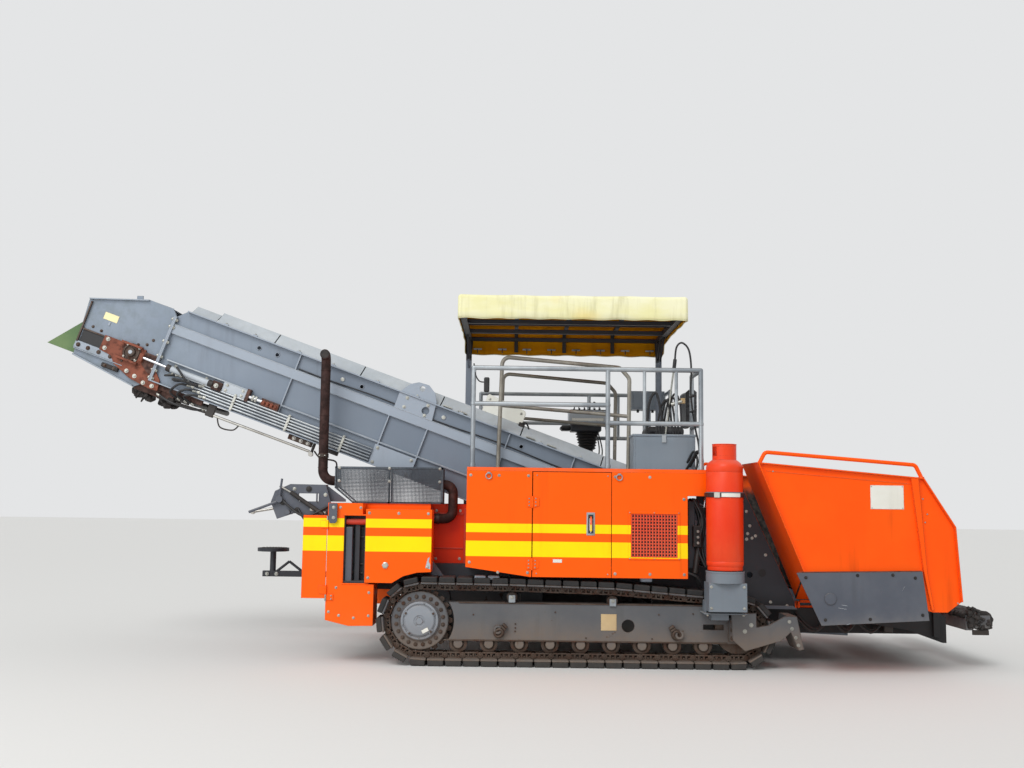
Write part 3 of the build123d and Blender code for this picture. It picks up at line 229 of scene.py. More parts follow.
def makeStripes():
    # the two yellow bands along both sides of the machine; the rear boxes' bands sit a little higher
    bands = {"levels": ((0.953, 1.087), (1.161, 1.239)), "soft": 0.0015, "outside": 1.15, "rearX": -0.36,
        "rearRise": 0.026}
    g, given = newGroup("side stripes", "Color", Ground=(255, 0, 0), Band=(255, 255, 0))
    x, y, z = g.split(g.place)
    level, soft = z - (x < bands["rearX"]) * bands["rearRise"], bands["soft"]
    lower, upper = [level.ramp(low - soft, low + soft) * level.ramp(high + soft, high - soft)
        for low, high in bands["levels"]]
    mask = (lower + upper).clamped() * (abs(g.split(g.facing)[1]) > 0.6) * (abs(y) > bands["outside"])
    return g.give(Color=g.mix(mask, given["Ground"], given["Band"]))


def makeHopperInside():
    # what looks towards the middle of the hopper is coated with old asphalt
    g, _ = newGroup("hopper inside", "Mask")
    _, y, z = g.split(g.place)
    inward = g.vectorMath("SUBTRACT", 0, (3.2, 0, 1.35), g.place)
    facing = g.vectorMath("DOT_PRODUCT", "Value", inward, g.facing)
    below = (z + g.noise(5, 5, 0.6) * 0.5).ramp(2.02, 1.75)
    return g.give(Mask=(facing > 0.0) * below * (abs(y) < 1.495))


wornPaint, stripes, hopperInside = makeWornPaint(), makeStripes(), makeHopperInside()


# Materials, each kept under a short key

looks = {}


def newMaterial(name, **plain):
    # the plain values go straight onto the shader's own sockets
    material = bpy.data.materials.new(name)
    material.use_nodes = True
    graph = Graph(material.node_tree)
    graph.material, graph.shader = material, material.node_tree.nodes["Principled BSDF"]
    for key, value in plain.items():
        graph.shader.inputs[key.replace("_", " ")].default_value = value
    return graph


def finishMaterial(key, g, colour, rough, height, strength, distance=0.002, normal=None):
    bump = {"Strength": strength, "Distance": distance, "Height": height}
    if normal:
        bump["Normal"] = normal
    for name, value in (("Base Color", colour), ("Roughness", rough), ("Normal", g.get("Bump", 0, bump))):
        g.plug(g.shader.inputs[name], value)
    looks[key] = g.material


def addPaint(key, name, colour=None, bump=0.25, extra=None, specular=0.5, **worn):
    # colour is a function that makes the paint's colour; extra changes what shows in the end
    g = newMaterial(name, Specular_IOR_Level=specular)
    if colour:
        worn["Paint"] = colour(g)
        worn["Faded"] = g.mix(0.35, worn["Paint"], worn["Faded"])
    out = g.group(wornPaint, **worn)
    seen = out["Color"], out["Roughness"], out["Height"]
    if extra:
        seen = extra(g, *seen)
    finishMaterial(key, g, *seen, bump, normal=out["Normal"])


orange, fadedOrange, yellow = (250, 92, 0), (250, 112, 22), (255, 222, 0)


def stripedOrange(g):
    return g.group(stripes, Ground=orange, Band=yellow)["Color"]


def housingColour(g):
    # orange and yellow outside; the recessed walls behind the tank boxes are the same orange painted dark
    # red, a painted shade for the shadow they lie in
    return g.mix(abs(g.split(g.place)[1]) < 0.9, stripedOrange(g), (206, 42, 0))


def deckColour(g):
    # the walkway is grey, its edge orange as the side below it
    return g.mix(abs(g.split(g.facing)[1]) > 0.6, (118, 126, 134), orange)


def postColour(g):
    # dark brackets under the roof, blue-grey posts below them
    return g.mix(g.split(g.place)[2].ramp(2.925, 2.935), (116, 125, 138), (38, 40, 46))


def asphaltInside(g, colour, rough, height):
    mask, lumps = g.group(hopperInside)["Mask"], g.noise(26, 6, 0.7)
    tar = g.mix(lumps.ramp(0.35, 0.65), (30, 28, 28), (70, 64, 60))
    return g.mix(mask, colour, tar), (rough + mask * 0.4).clamped(), height + mask * (lumps * 2.0)


def boomShadeHighlightAndMoss(g, colour, rough, height):
    # painted shade and highlight: the proud rails and ribs are lightened, the recessed web darkened, more
    # towards the boom's lower end; green growth on the head's rims, towards the rear end
    x, y, _ = g.split(g.place)
    proud = abs(y) > 0.6035
    web = (1.0 - proud) * x.ramp(-3.2, -1.2)
    # painted shade on the recessed web, stronger towards the lower end
    colour = g.mix(web * 0.55, colour, (98, 108, 121))
    # painted highlight on the proud rails and ribs
    colour = g.mix(proud * 0.42, colour, (176, 185, 196))
    mask = x.ramp(-2.6, -3.9) * g.noise(11, 6, 0.7).ramp(0.42, 0.62)
    mask = mask * g.split(g.facing)[2].ramp(-0.2, 0.5, 0.12, 0.42)
    return g.mix(mask, colour, (74, 84, 58)), rough, height


def paintedShadeBelow(g, colour, rough, height):
    # painted shade: what hangs low under the machine is darkened towards black, standing in for the deep
    # shadow under it
    share = g.split(g.place)[2].ramp(0.68, 0.5, 0.0, 0.8)
    return g.mix(share, colour, (14, 14, 16)), rough, height


addPaint("striped", "orangeStriped", stripedOrange, 0.15, specular=0.18, Faded=fadedOrange, Fading=0.35,
    Gloss=0.27, Edges=0.2, Edge_Radius=0.004, Chips=0.02, Bare=(120, 70, 50), Dirt=(206, 124, 70), Dust=0.2,
    Spray=0.12, Spray_Height=0.95)
addPaint("housing", "housingEnamel", housingColour, 0.15, specular=0.18, Faded=fadedOrange, Gloss=0.3,
    Edges=0.25, Edge_Radius=0.004, Chips=0.08, Bare=(120, 70, 50), Dirt=(206, 124, 70), Dust=0.3,
    Streaks=0.35, Spray=0.15, Spray_Height=0.95)
addPaint("orange", "orangeEnamel", Paint=orange, Faded=fadedOrange, Fading=0.5, Gloss=0.3, Edges=0.35,
    Chips=0.12, Bare=(110, 66, 48), Streaks=0.4, Spray=0.4, Spray_Height=0.8)
addPaint("hopper", "hopperEnamel", extra=asphaltInside, specular=0.18, Paint=(250, 84, 0),
    Faded=(248, 102, 10), Gloss=0.33, Edges=0.45, Edge_Radius=0.007, Chips=0.16, Chip_Scale=22.0,
    Bare=(90, 60, 50), Dust=0.3, Dirt=(190, 116, 70), Streaks=0.5, Spray=0.25)
addPaint("grey", "boomGrey", extra=boomShadeHighlightAndMoss, Paint=(122, 134, 149), Faded=(138, 149, 162), Fading=0.5,
    Gloss=0.42, Edge_Radius=0.006, Chips=0.1, Bare=(78, 60, 52), Dust=0.55, Streaks=0.55, Spray=0.2)
addPaint("slate", "slateGrey", Paint=(72, 77, 88), Faded=(96, 100, 108), Fading=0.5, Gloss=0.45, Edges=0.5,
    Edge_Radius=0.006, Chips=0.3, Chip_Scale=17.0, Bare=(126, 120, 116), Dust=0.5, Streaks=0.4, Spray=0.5,
    Spray_Height=0.8)
addPaint("trackGrey", "trackFrameGrey", Paint=(80, 82, 86), Faded=(104, 103, 102), Fading=0.5, Gloss=0.5,
    Edges=0.8, Edge_Radius=0.012, Chips=0.42, Chip_Scale=13.0, Bare=(74, 50, 40), Dirt=(116, 100, 86),
    Dust=0.85, Streaks=0.5, Spray=0.75, Spray_Height=0.62)
# dark chassis paint; what hangs low is darkened as painted shade under the machine
addPaint("dark", "chassisDark", extra=paintedShadeBelow, Paint=(40, 43, 50), Faded=(56, 59, 66), Fading=0.5,
    Gloss=0.5, Edges=0.5, Chips=0.3, Bare=(74, 56, 48), Dirt=(84, 78, 72), Dust=0.55, Streaks=0.4,
    Spray=0.35, Spray_Height=0.8)
addPaint("locker", "lockerGrey", Paint=(126, 137, 148), Faded=(142, 150, 158), Fading=0.4, Gloss=0.38,
    Edges=0.25, Edge_Radius=0.004, Chips=0.05, Spray=0.0)
addPaint("holder", "holderGrey", Paint=(106, 115, 124), Faded=(122, 130, 138), Fading=0.5, Gloss=0.42,
    Chips=0.14, Bare=(84, 64, 54), Streaks=0.4, Spray_Height=0.7)
addPaint("deck", "deckGrey", deckColour, specular=0.25, Faded=(140, 146, 150), Edges=0.3, Edge_Radius=0.004,
    Chips=0.15, Dust=0.6, Streaks=0.2, Spray=0.0)
addPaint("canopyFrame", "canopyFrameGrey", postColour, Faded=(96, 102, 112), Gloss=0.45, Chips=0.12,
    Spray=0.0)
addPaint("red", "bottleRed", specular=0.25, Paint=(226, 56, 20), Faded=(236, 92, 48), Fading=0.45,
    Gloss=0.32, Chip_Scale=26.0, Bare=(120, 60, 46), Dust=0.2, Spray=0.2)
# dark red of the rod in the box opening and the folds on the recessed bay wall: the housing's orange darkened
# as painted shade, like its walls behind the tank boxes
addPaint("darkRed", "housingRed", Paint=(186, 40, 10), Faded=(200, 66, 34), Fading=0.5, Gloss=0.45,
    Chips=0.25, Bare=(80, 50, 42), Dust=0.5, Streaks=0.5, Spray=0.5)
addPaint("cover", "paleCover", Paint=(168, 176, 184), Faded=(192, 198, 204), Fading=0.7, Gloss=0.42,
    Edges=0.2, Chips=0.06, Bare=(120, 112, 104), Dirt=(140, 140, 124), Dust=0.35, Streaks=0.4, Spray=0.0)
addPaint("green", "tipGreen", Paint=(74, 104, 62), Faded=(112, 132, 84), Fading=0.6, Gloss=0.55,
    Bare=(90, 84, 66), Streaks=0.4, Spray=0.0)
addPaint("white", "plateWhite", bump=0.1, Paint=(226, 226, 218), Faded=(206, 204, 190), Fading=0.5,
    Edges=0.1, Chips=0.03, Dust=0.1, Streaks=0.35, Spray=0.1)
addPaint("tan", "plateTan", bump=0.1, Paint=(206, 180, 132), Faded=(170, 140, 100), Fading=0.8, Gloss=0.5,
    Edges=0.2, Bare=(100, 76, 58), Dust=0.2, Streaks=0.5, Spray=0.2)
addPaint("black", "blackPlastic", bump=0.2, Paint=(28, 28, 30), Faded=(46, 46, 48), Fading=0.5, Gloss=0.5,
    Edges=0.0, Chips=0.0, Dust=0.45, Streaks=0.2)


def addSteel(key, name, light, dark, rust, rusty, rough, metallic, scale, bump, dust, dirt=(130, 118, 100)):
    # bare metal: a bright and a dark shade clouded together, with rust over it
    g = newMaterial(name, Metallic=metallic)
    air = g.group(weather, Dust=dust, Spray=dust, Spray_Height=0.7)
    edge = g.group(edgeWear, Radius=0.004, Amount=0.5)
    patch, pits = g.noise(scale, 6, 0.65), g.noise(scale * 9, 3, 0.6)
    covered = (patch + rusty).ramp(0.85, 1.15)
    colour = g.mix(covered, g.mix(air["Cloud"].ramp(0.35, 0.7), light, dark), rust)
    colour = g.mix(air["Dust"], g.mix(edge["Mask"] * 0.5, colour, light), dirt)
    spread = (covered * 0.3 + rough + pits * 0.1).clamped()
    finishMaterial(key, g, colour, spread, covered * 0.6 + pits * 0.5, bump, normal=edge["Normal"])


addSteel("galvanised", "galvanisedSteel", (176, 182, 186), (132, 138, 144), (120, 104, 88), 0.12, 0.38, 0.65,
    24, 0.15, 0.15)
addSteel("guard", "guardSteel", (114, 123, 131), (80, 88, 96), (84, 76, 70), 0.15, 0.5, 0.5, 22, 0.15, 0.1,
    (100, 100, 98))
addSteel("wornPipe", "wornPipe", (158, 154, 144), (112, 106, 98), (112, 74, 56), 0.3, 0.45, 0.6, 16, 0.2,
    0.2)
addSteel("exhaust", "exhaustRust", (76, 44, 38), (50, 30, 27), (40, 24, 21), 0.5, 0.55, 0.35, 12, 0.5, 0.15,
    (100, 66, 52))
addSteel("link", "linkSteel", (92, 80, 72), (50, 43, 40), (84, 52, 38), 0.42, 0.5, 0.5, 14, 0.6, 0.45,
    (88, 70, 56))
addSteel("polished", "polishedSteel", (186, 184, 178), (140, 136, 130), (110, 80, 60), 0.2, 0.3, 0.85, 16,
    0.25, 0.25)
addSteel("chrome", "chromedRod", (214, 216, 220), (186, 188, 192), (140, 120, 100), 0.02, 0.1, 1.0, 20, 0.05,
    0.05)
addSteel("zinc", "zincFitting", (190, 190, 182), (146, 146, 140), (120, 90, 60), 0.15, 0.32, 0.85, 40, 0.1,
    0.15)
addSteel("grimy", "oilySteel", (58, 54, 52), (34, 32, 32), (74, 50, 38), 0.3, 0.42, 0.35, 16, 0.6, 0.35,
    (92, 80, 68))
addSteel("pipe", "hydraulicPipe", (178, 182, 184), (128, 134, 140), (116, 92, 70), 0.16, 0.35, 0.7, 30, 0.1,
    0.2)


def addCoat(key, name, light, dark, scale, bump, rough, dust, dirt):
    # rubber, tar and other dull coats
    g = newMaterial(name)
    air = g.group(weather, Dust=dust, Spray=dust, Spray_Height=0.8)
    lumps = g.noise(scale, 7, 0.68)
    colour = g.mix(air["Dust"], g.mix(lumps.ramp(0.35, 0.68), dark, light), dirt)
    spread = lumps.ramp(0.2, 0.8, rough - 0.1, rough + 0.1)
    finishMaterial(key, g, colour, spread, lumps, bump, 0.004, g.bevel(0.004))


addCoat("pad", "trackPadRubber", (38, 37, 37), (18, 17, 18), 30, 0.5, 0.75, 0.3, (84, 78, 72))
addCoat("belt", "beltRubber", (50, 48, 47), (30, 29, 29), 24, 0.3, 0.7, 0.3, (96, 90, 84))
addCoat("hose", "hoseRubber", (40, 40, 42), (22, 22, 24), 40, 0.15, 0.5, 0.25, (96, 90, 84))
addCoat("tar", "asphaltCrust", (56, 50, 48), (18, 17, 17), 22, 0.9, 0.72, 0.2, (90, 82, 74))
addCoat("vinyl", "seatVinyl", (38, 38, 42), (24, 24, 27), 55, 0.18, 0.48, 0.25, (104, 100, 96))
print("materials ready:", len(bpy.data.materials))

dresses = {"striped": "side_bodies side_door_right side_door_left tank_boxes rear_flap_right rear_flap_left",
    "housing": "rear_housing", "hopper": "wing_right wing_left hopper_floor front_apron",
    "grey": "boom_frame boom_head lift_barrels", "trackGrey": "track_frames track_scrapers sprockets",
    "slate": "wing_skirt_right wing_skirt_left push_beam rear_linkage", "canopyFrame": "canopy_frame",
    "dark": "main_frame engine_block radiator seat_frame rear_step", "locker": "cabinets control_console",
    "holder": "bottle_holder", "deck": "deck", "cover": "boom_covers", "green": "chute_tip",
    "red": "gas_bottle", "galvanised": "railings", "wornPipe": "inner_rails", "guard": "silencer_guard",
    "exhaust": "exhaust_pipes", "link": "track_rollers idlers belt_scraper belt_tensioners",
    "polished": "belt_drums return_rollers", "pipe": "boom_pipes", "chrome": "lift_rods",
    "belt": "boom_belt", "tar": "auger_right auger_left push_roller_right push_roller_left"}
for key, names in dresses.items():
    for name in names.split():
        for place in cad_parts[name].material_slots:
            place.material = looks[key]


# Shapes are gathered as points and faces, then made into one mesh

def crossFrame(direction):
    helper = Vector((0, 0, 1)) if abs(direction.z) < 0.9 else Vector((1, 0, 0))
    first = direction.cross(helper).normalized()
    return first, direction.cross(first).normalized()


def smoothPath(points, steps):
    # a soft curve through given points
    points = [Vector(point) for point in points]
    path = []
    for index in range(len(points) - 1):
        before, start = points[max(index - 1, 0)], points[index]
        end, after = points[index + 1], points[min(index + 2, len(points) - 1)]
        for step in range(steps):
            t = step / steps
            path.append(0.5 * ((2 * start) + (end - before) * t + (2 * before - 5 * start + 4 * end - after)
                * t * t + (3 * start - before - 3 * end + after) * t ** 3))
    path.append(points[-1])
    return path


def turns(count):
    return [2 * pi * index / count for index in range(count)]


def sideWord(sign):
    return "left" if sign > 0 else "right"


signs = (-1, 1)
near = (0, -1, 0)


class Shape:
    def __init__(self):
        self.points, self.faces, self.slots = [], [], []

    def add(self, points, faces, slot=0, place=None):
        base = len(self.points)
        if place is not None:
            points = [place @ Vector(point) for point in points]
        self.points += [tuple(point) for point in points]
        self.faces += [tuple(base + index for index in face) for face in faces]
        self.slots += [slot] * len(faces)

    def addShape(self, part, place):
        # a placed copy of a whole shape
        base = len(self.points)
        self.points += [tuple(place @ Vector(point)) for point in part.points]
        self.faces += [tuple(base + index for index in face) for face in part.faces]
        self.slots += part.slots

    def move(self, place):
        self.points = [tuple(place @ Vector(point)) for point in self.points]

    def flip(self):
        self.move(Matrix.Scale(-1, 4, (0, 1, 0)))

    def mirror(self):
        # the same on the machine's other side
        base = len(self.points)
        self.points += [(x, -y, z) for x, y, z in self.points]
        self.faces += [tuple(base + index for index in reversed(face)) for face in self.faces]
        self.slots += self.slots

    def box(self, low, high, slot=0, chamfer=0.002, place=None):
        low, high = Vector(low), Vector(high)
        middle, half = (low + high) / 2, (high - low) / 2
        chamfer = min(chamfer, min(half) * 0.9)
        corners = list(product(signs, repeat=3))
        if chamfer <= 0:
            points = [middle + Vector((half.x * x, half.y * y, half.z * z)) for x, y, z in corners]
            faces = [(0, 1, 3, 2), (4, 6, 7, 5), (0, 4, 5, 1), (2, 3, 7, 6), (0, 2, 6, 4), (1, 5, 7, 3)]
            self.add(points, faces, slot, place)
            return
        points, index = [], {}
        for corner in corners:
            # three points a corner, each in the full face across one axis
            for full in range(3):
                index[(*corner, full)] = len(points)
                reach = [half[axis] - (0 if axis == full else chamfer) for axis in range(3)]
                points.append(middle + Vector([reach[axis] * corner[axis] for axis in range(3)]))

        def find(axis, side, a, b, full):
            corner = [0, 0, 0]
            corner[axis], corner[(axis + 1) % 3], corner[(axis + 2) % 3] = side, a, b
            return index[(*corner, full)]

        faces = []
        for axis in range(3):
            first, second = (axis + 1) % 3, (axis + 2) % 3
            for side in signs:
                loop = [find(axis, side, a, b, axis) for a, b in ((-1, -1), (1, -1), (1, 1), (-1, 1))]
                faces.append(loop if side > 0 else loop[::-1])
            for a, b in product(signs, repeat=2):
                faces.append([find(axis, side, a, b, full) for side, full in ((-1, first), (-1, second),
                    (1, second), (1, first))])
        faces += [[index[(*corner, full)] for full in range(3)] for corner in corners]
        self.add(points, faces, slot, place)

    def plate(self, outline, low, high, slot=0, place=None):
        # an upright plate: its outline is seen from the side, low and high are across the machine
        count = len(outline)
        points = [(x, y, z) for y in (low, high) for x, z in outline]
        faces = [tuple(range(count)), tuple(reversed(range(count, 2 * count)))]
        faces += [(i, i + count, (i + 1) % count + count, (i + 1) % count) for i in range(count)]
        self.add(points, faces, slot, place)

    def lathe(self, profile, start, direction, sides=24, slot=0, place=None):
        # profile: (radius, distance along) from one end to the other; a radius of 0 closes it
        start, direction = Vector(start), Vector(direction).normalized()
        first, second = crossFrame(direction)
        points, rings = [], []
        for radius, along in profile:
            centre = start + direction * along
            if radius < 1e-6:
                rings.append([len(points)])
                points.append(centre)
                continue
            rings.append(list(range(len(points), len(points) + sides)))
            points += [centre + (first * cos(angle) + second * sin(angle)) * radius
                for angle in turns(sides)]
        faces = []
        for lower, upper in zip(rings, rings[1:]):
            for step in range(sides):
                after = (step + 1) % sides
                if len(lower) == 1 and len(upper) > 1:
                    faces.append((lower[0], upper[step], upper[after]))
                elif len(upper) == 1 and len(lower) > 1:
                    faces.append((lower[step], upper[0], lower[after]))
                elif len(lower) > 1:
                    faces.append((lower[step], upper[step], upper[after], lower[after]))
        self.add(points, faces, slot, place)

    def rod(self, start, end, radius, slot=0, sides=16, chamfer=0.0, radiusEnd=None):
        start, end = Vector(start), Vector(end)
        length = (end - start).length
        last = radius if radiusEnd is None else radiusEnd
        profile = [(0, 0), (radius - chamfer, 0)]
        if chamfer > 0:
            profile += [(radius, chamfer), (last, length - chamfer)]
        profile += [(last - chamfer, length), (0, length)]
        self.lathe(profile, start, end - start, sides, slot)

    def tube(self, path, radius, slot=0, sides=10, place=None, closed=False):
        path = [Vector(point) for point in path]
        first = None
        points, rings = [], []
        count = len(path)
        for index, point in enumerate(path):
            before, after = path[max(index - 1, 0)], path[min(index + 1, count - 1)]
            if closed:
                before, after = path[index - 1], path[(index + 1) % count]
            heading = (after - before).normalized()
            if first is None:
                first, second = crossFrame(heading)
            first = (first - heading * first.dot(heading)).normalized()
            second = heading.cross(first)
            rings.append(list(range(len(points), len(points) + sides)))
            points += [point + (first * cos(angle) + second * sin(angle)) * radius for angle in turns(sides)]
        faces = []
        for lower, upper in list(zip(rings, rings[1:])) + ([(rings[-1], rings[0])] if closed else []):
            faces += [(lower[i], lower[(i + 1) % sides], upper[(i + 1) % sides], upper[i])
                for i in range(sides)]
        if not closed:
            faces += [tuple(reversed(rings[0])), tuple(rings[-1])]
        self.add(points, faces, slot, place)

    def hose(self, points, steps, radius, slot=0, sides=10):
        self.tube(smoothPath(points, steps), radius, slot, sides)

    def bolt(self, place, size, slot=0, facing=near, washer=True):
        # hexagon head on a washer; size is across the flats
        facing = Vector(facing).normalized()
        if washer:
            self.lathe([(0, 0), (size * 0.95, 0), (size * 0.95, size * 0.14), (0, size * 0.14)], place,
                facing, 12, slot)
        base = Vector(place) + facing * (size * 0.12 if washer else 0)
        self.lathe([(0, 0), (size * 0.577, 0), (size * 0.577, size * 0.48), (size * 0.48, size * 0.6),
            (0, size * 0.6)], base, facing, 6, slot)

    def screw(self, place, size, slot=0):
        self.bolt(place, size, slot, washer=False)

    def bolts(self, spots, y, size, slot=0, washer=True):
        # a bolt at every spot of (x, z), or a screw where there is no washer
        for x, z in spots:
            self.bolt((x, y, z), size, slot, washer=washer)

    def finish(self, name, body, slot, dress, replaces="", sharp=35, recalc=True):
        # one piece of the scene; dress lists its looks, replaces the nodes that it stands for
        mesh = bpy.data.meshes.new(name)
        mesh.from_pydata(self.points, [], self.faces)
        for key in dress.split():
            mesh.materials.append(looks[key])
        mesh.polygons.foreach_set("material_index", self.slots)
        if recalc:
            work = bmesh.new()
            work.from_mesh(mesh)
            bmesh.ops.recalc_face_normals(work, faces=work.faces)
            work.to_mesh(mesh)
            work.free()
        mesh.shade_smooth()
        mesh.set_sharp_from_angle(angle=radians(sharp))
        piece = bpy.data.objects.new(name, mesh)
        bpy.context.scene.collection.objects.link(piece)
        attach(piece, body)
        if replaces:
            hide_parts(*replaces.split())
        return piece


# Tracks: shoes with rubber pads on a chain of paired links

track = {"centreY": 1.1, "pitch": 0.154, "halfShoe": 0.148, "halfPad": 0.15, "pinDepth": 0.029,
    "plate": (0.026, 0.042), "pad": (0.042, 0.089), "gap": 0.008,
    # wheels that the chain goes round: x, z, radius to the foot of the shoes
    "wheels": ((-0.74, 0.383, 0.323), (2.062, 0.325, 0.265), (0.955, 0.57, 0.108), (0.068, 0.592, 0.108))}


def loopRuns(wheels):
    # straight runs and arcs of the chain's loop, anticlockwise as seen from the right side
    normals = []
    for (x1, z1, r1), (x2, z2, r2) in zip(wheels, wheels[1:] + wheels[:1]):
        normals.append(atan2(z2 - z1, x2 - x1) - acos((r1 - r2) / hypot(x2 - x1, z2 - z1)))
    runs = []
    for index, (x, z, radius) in enumerate(wheels):
        into, out = normals[index - 1], normals[index]
        turn = (out - into) % (2 * pi)
        runs.append((radius * turn, into, turn, (x, z, radius)))
        nextX, nextZ, nextRadius = wheels[(index + 1) % len(wheels)]
        start = (x + radius * cos(out), z + radius * sin(out))
        end = (nextX + nextRadius * cos(out), nextZ + nextRadius * sin(out))
        runs.append((hypot(end[0] - start[0], end[1] - start[1]), out, 0, (*start, *end)))
    return runs


def loopPoint(runs, distance, outward):
    distance %= sum(run[0] for run in runs)
    for length, normal, turn, place in runs:
        if distance <= length:
            break
        distance -= length
    share = distance / length if length else 0
    if turn:
        x, z, radius = place
        angle = normal + turn * share
        return Vector((x + (radius + outward) * cos(angle), 0, z + (radius + outward) * sin(angle)))
    x1, z1, x2, z2 = place
    return Vector((x1 + (x2 - x1) * share + outward * cos(normal), 0, z1 + (z2 - z1) * share + outward
        * sin(normal)))


def makeLink(pitch):
    # along x from pin to pin, y across, z outward; slots: 0 pad, 1 link, 2 bright plate edge
    link = Shape()
    gap = track["gap"]
    low, high = track["plate"]
    link.box((gap / 2, -track["halfShoe"], low), (pitch - gap / 2, track["halfShoe"], high), 2, 0.003)
    low, high = track["pad"]
    link.box((gap, -track["halfPad"], low), (pitch - gap, track["halfPad"], high), 0, 0.007)
    bar = 0.016
    for side in signs:
        inner, outer = sorted((side * 0.057, side * 0.071))
        link.box((bar, inner, -0.028), (pitch - bar, outer, -0.013), 1, 0.003)
        link.box((bar, inner, 0.014), (pitch - bar, outer, 0.027), 1)
        for x in (pitch * 0.33, pitch * 0.62):
            link.box((x - 0.009, inner, -0.014), (x + 0.009, outer, 0.015), 1)
        for x, face, radius in ((0, 0.074, 0.024), (pitch, 0.078, 0.027)):
            link.lathe([(0, 0.056), (radius, 0.056), (radius, face - 0.004), (radius - 0.004, face),
                (0.014, face), (0.013, face - 0.003), (0, face - 0.003)], (x, 0, 0), (0, side, 0), 16, 1)
        # heads of the shoe bolts inside the link
        for x in (pitch * 0.2, pitch * 0.48, pitch * 0.78):
            link.box((x - 0.009, side * 0.064 - 0.009, 0.0), (x + 0.009, side * 0.064 + 0.009, 0.014), 1)
    link.rod((pitch, -0.08, 0), (pitch, 0.08, 0), 0.0125, 1, 12, 0.002)
    link.rod((pitch, -0.055, 0), (pitch, 0.055, 0), 0.019, 1, 12)
    return link


def makeTrack(side):
    runs = loopRuns(track["wheels"])
    length = sum(run[0] for run in runs)
    count = round(length / track["pitch"])
    step = length / count
    shape = Shape()
    random.seed(11 + side)
    for index in range(count):
        start = loopPoint(runs, index * step, -track["pinDepth"])
        end = loopPoint(runs, (index + 1) * step, -track["pinDepth"])
        along = (end - start).normalized()
        outward = Vector((along.z, 0, -along.x))
        across = outward.cross(along)
        place = Matrix((along, across, outward)).transposed().to_4x4()
        place.translation = start + Vector((0, side * track["centreY"], 0))
        shape.addShape(makeLink((end - start).length), place)
    shape.finish("track" + sideWord(side).title(), "chassis", "track_steel", "pad link trackGrey",
        "track_" + sideWord(side))


makeTrack(-1)
makeTrack(1)
print("tracks made")


# Running gear: final drives with their sprockets, rollers and the trim of the track frames

drive = {"x": -0.74, "z": 0.383, "teeth": 24, "tip": 0.286, "root": 0.256, "boltRing": 0.207, "bolts": 20,
    "disc": 0.252, "cover": 0.166}


def makeFinalDrives():
    shape = Shape()
    x, z = drive["x"], drive["z"]
    outline = []
    for tooth in range(drive["teeth"]):
        middle = 2 * pi * tooth / drive["teeth"]
        for offset, radius in ((-0.42, drive["root"]), (-0.2, drive["tip"]), (0.2, drive["tip"]),
                (0.42, drive["root"])):
            angle = middle + offset * 2 * pi / drive["teeth"]
            outline.append((x + radius * cos(angle), z + radius * sin(angle)))
    shape.plate(outline, -1.122, -1.078, 0)
    shape.lathe([(0, -0.095), (0.15, -0.095), (0.15, 0.03), (drive["disc"] - 0.02, 0.04),
        (drive["disc"], 0.05), (drive["disc"], 0.066), (drive["disc"] - 0.006, 0.072), (0.182, 0.072),
        (0.178, 0.078), (drive["cover"] - 0.02, 0.08), (0, 0.08)], (x, -1.105, z), near, 64, 1)
    shape.lathe([(0, 0.078), (drive["cover"], 0.078), (drive["cover"], 0.094), (drive["cover"] - 0.008, 0.1),
        (0.146, 0.1), (0.143, 0.094), (0.136, 0.094), (0.133, 0.104), (0.122, 0.112), (0.05, 0.118),
        (0.045, 0.114), (0, 0.115)], (x, -1.105, z), near, 64, 2)
    for bolt in range(drive["bolts"]):
        angle = 2 * pi * (bolt + 0.5) / drive["bolts"]
        spot = (x + drive["boltRing"] * cos(angle), -1.177, z + drive["boltRing"] * sin(angle))
        shape.bolt(spot, 0.019)
    # ears round the cover, each with a screw
    for degrees in (28, 152, 232, 318):
        angle = radians(degrees)
        ear = Matrix.Translation((x, -1.2, z)) @ Matrix.Rotation(-angle, 4, "Y")
        shape.box((0.105, -0.014, -0.026), (0.152, 0.004, 0.026), 2, 0.008, ear)
        spot = ear @ Vector((0.137, -0.014, 0))
        shape.screw(spot, 0.019)
    for degrees in (75, 195, 270):
        angle = radians(degrees)
        shape.screw((x + 0.155 * cos(angle), -1.204, z + 0.155 * sin(angle)), 0.012, 2)
    raised = Matrix.Translation((x, -1.219, z)) @ Matrix.Rotation(radians(-20), 4, "Y")
    shape.plate([(0.045 * cos(radians(a)), 0.045 * sin(radians(a))) for a in (90, 210, 330)], -0.0035, 0.004,
        2, raised)
    shape.plate([(0.03 * cos(radians(a)), 0.03 * sin(radians(a))) for a in range(0, 360, 30)], -0.006, 0.0,
        2, raised)
    tag = Matrix.Translation((x + 0.052, -1.2215, z - 0.082)) @ Matrix.Rotation(radians(-28), 4, "Y")
    shape.box((-0.03, -0.001, -0.016), (0.03, 0.006, 0.016), 3, 0.001, tag)
    shape.mirror()
    shape.finish("finalDrives", "chassis", "grey_paint", "link trackGrey driveCover white", "sprockets", 30)


addPaint("driveCover", "driveCoverGrey", Paint=(126, 132, 140), Faded=(150, 154, 158), Fading=0.6,
    Gloss=0.42, Edges=0.7, Chips=0.35, Chip_Scale=20.0, Bare=(92, 72, 60), Dirt=(116, 100, 86), Spray=0.4,
    Spray_Height=0.6)
makeFinalDrives()

rollers = {"bottomX": [-0.401 + 0.269 * index for index in range(9)], "bottomZ": 0.1883,
    "carriers": ((0.068, 0.592), (0.955, 0.57)), "centreY": 1.1}


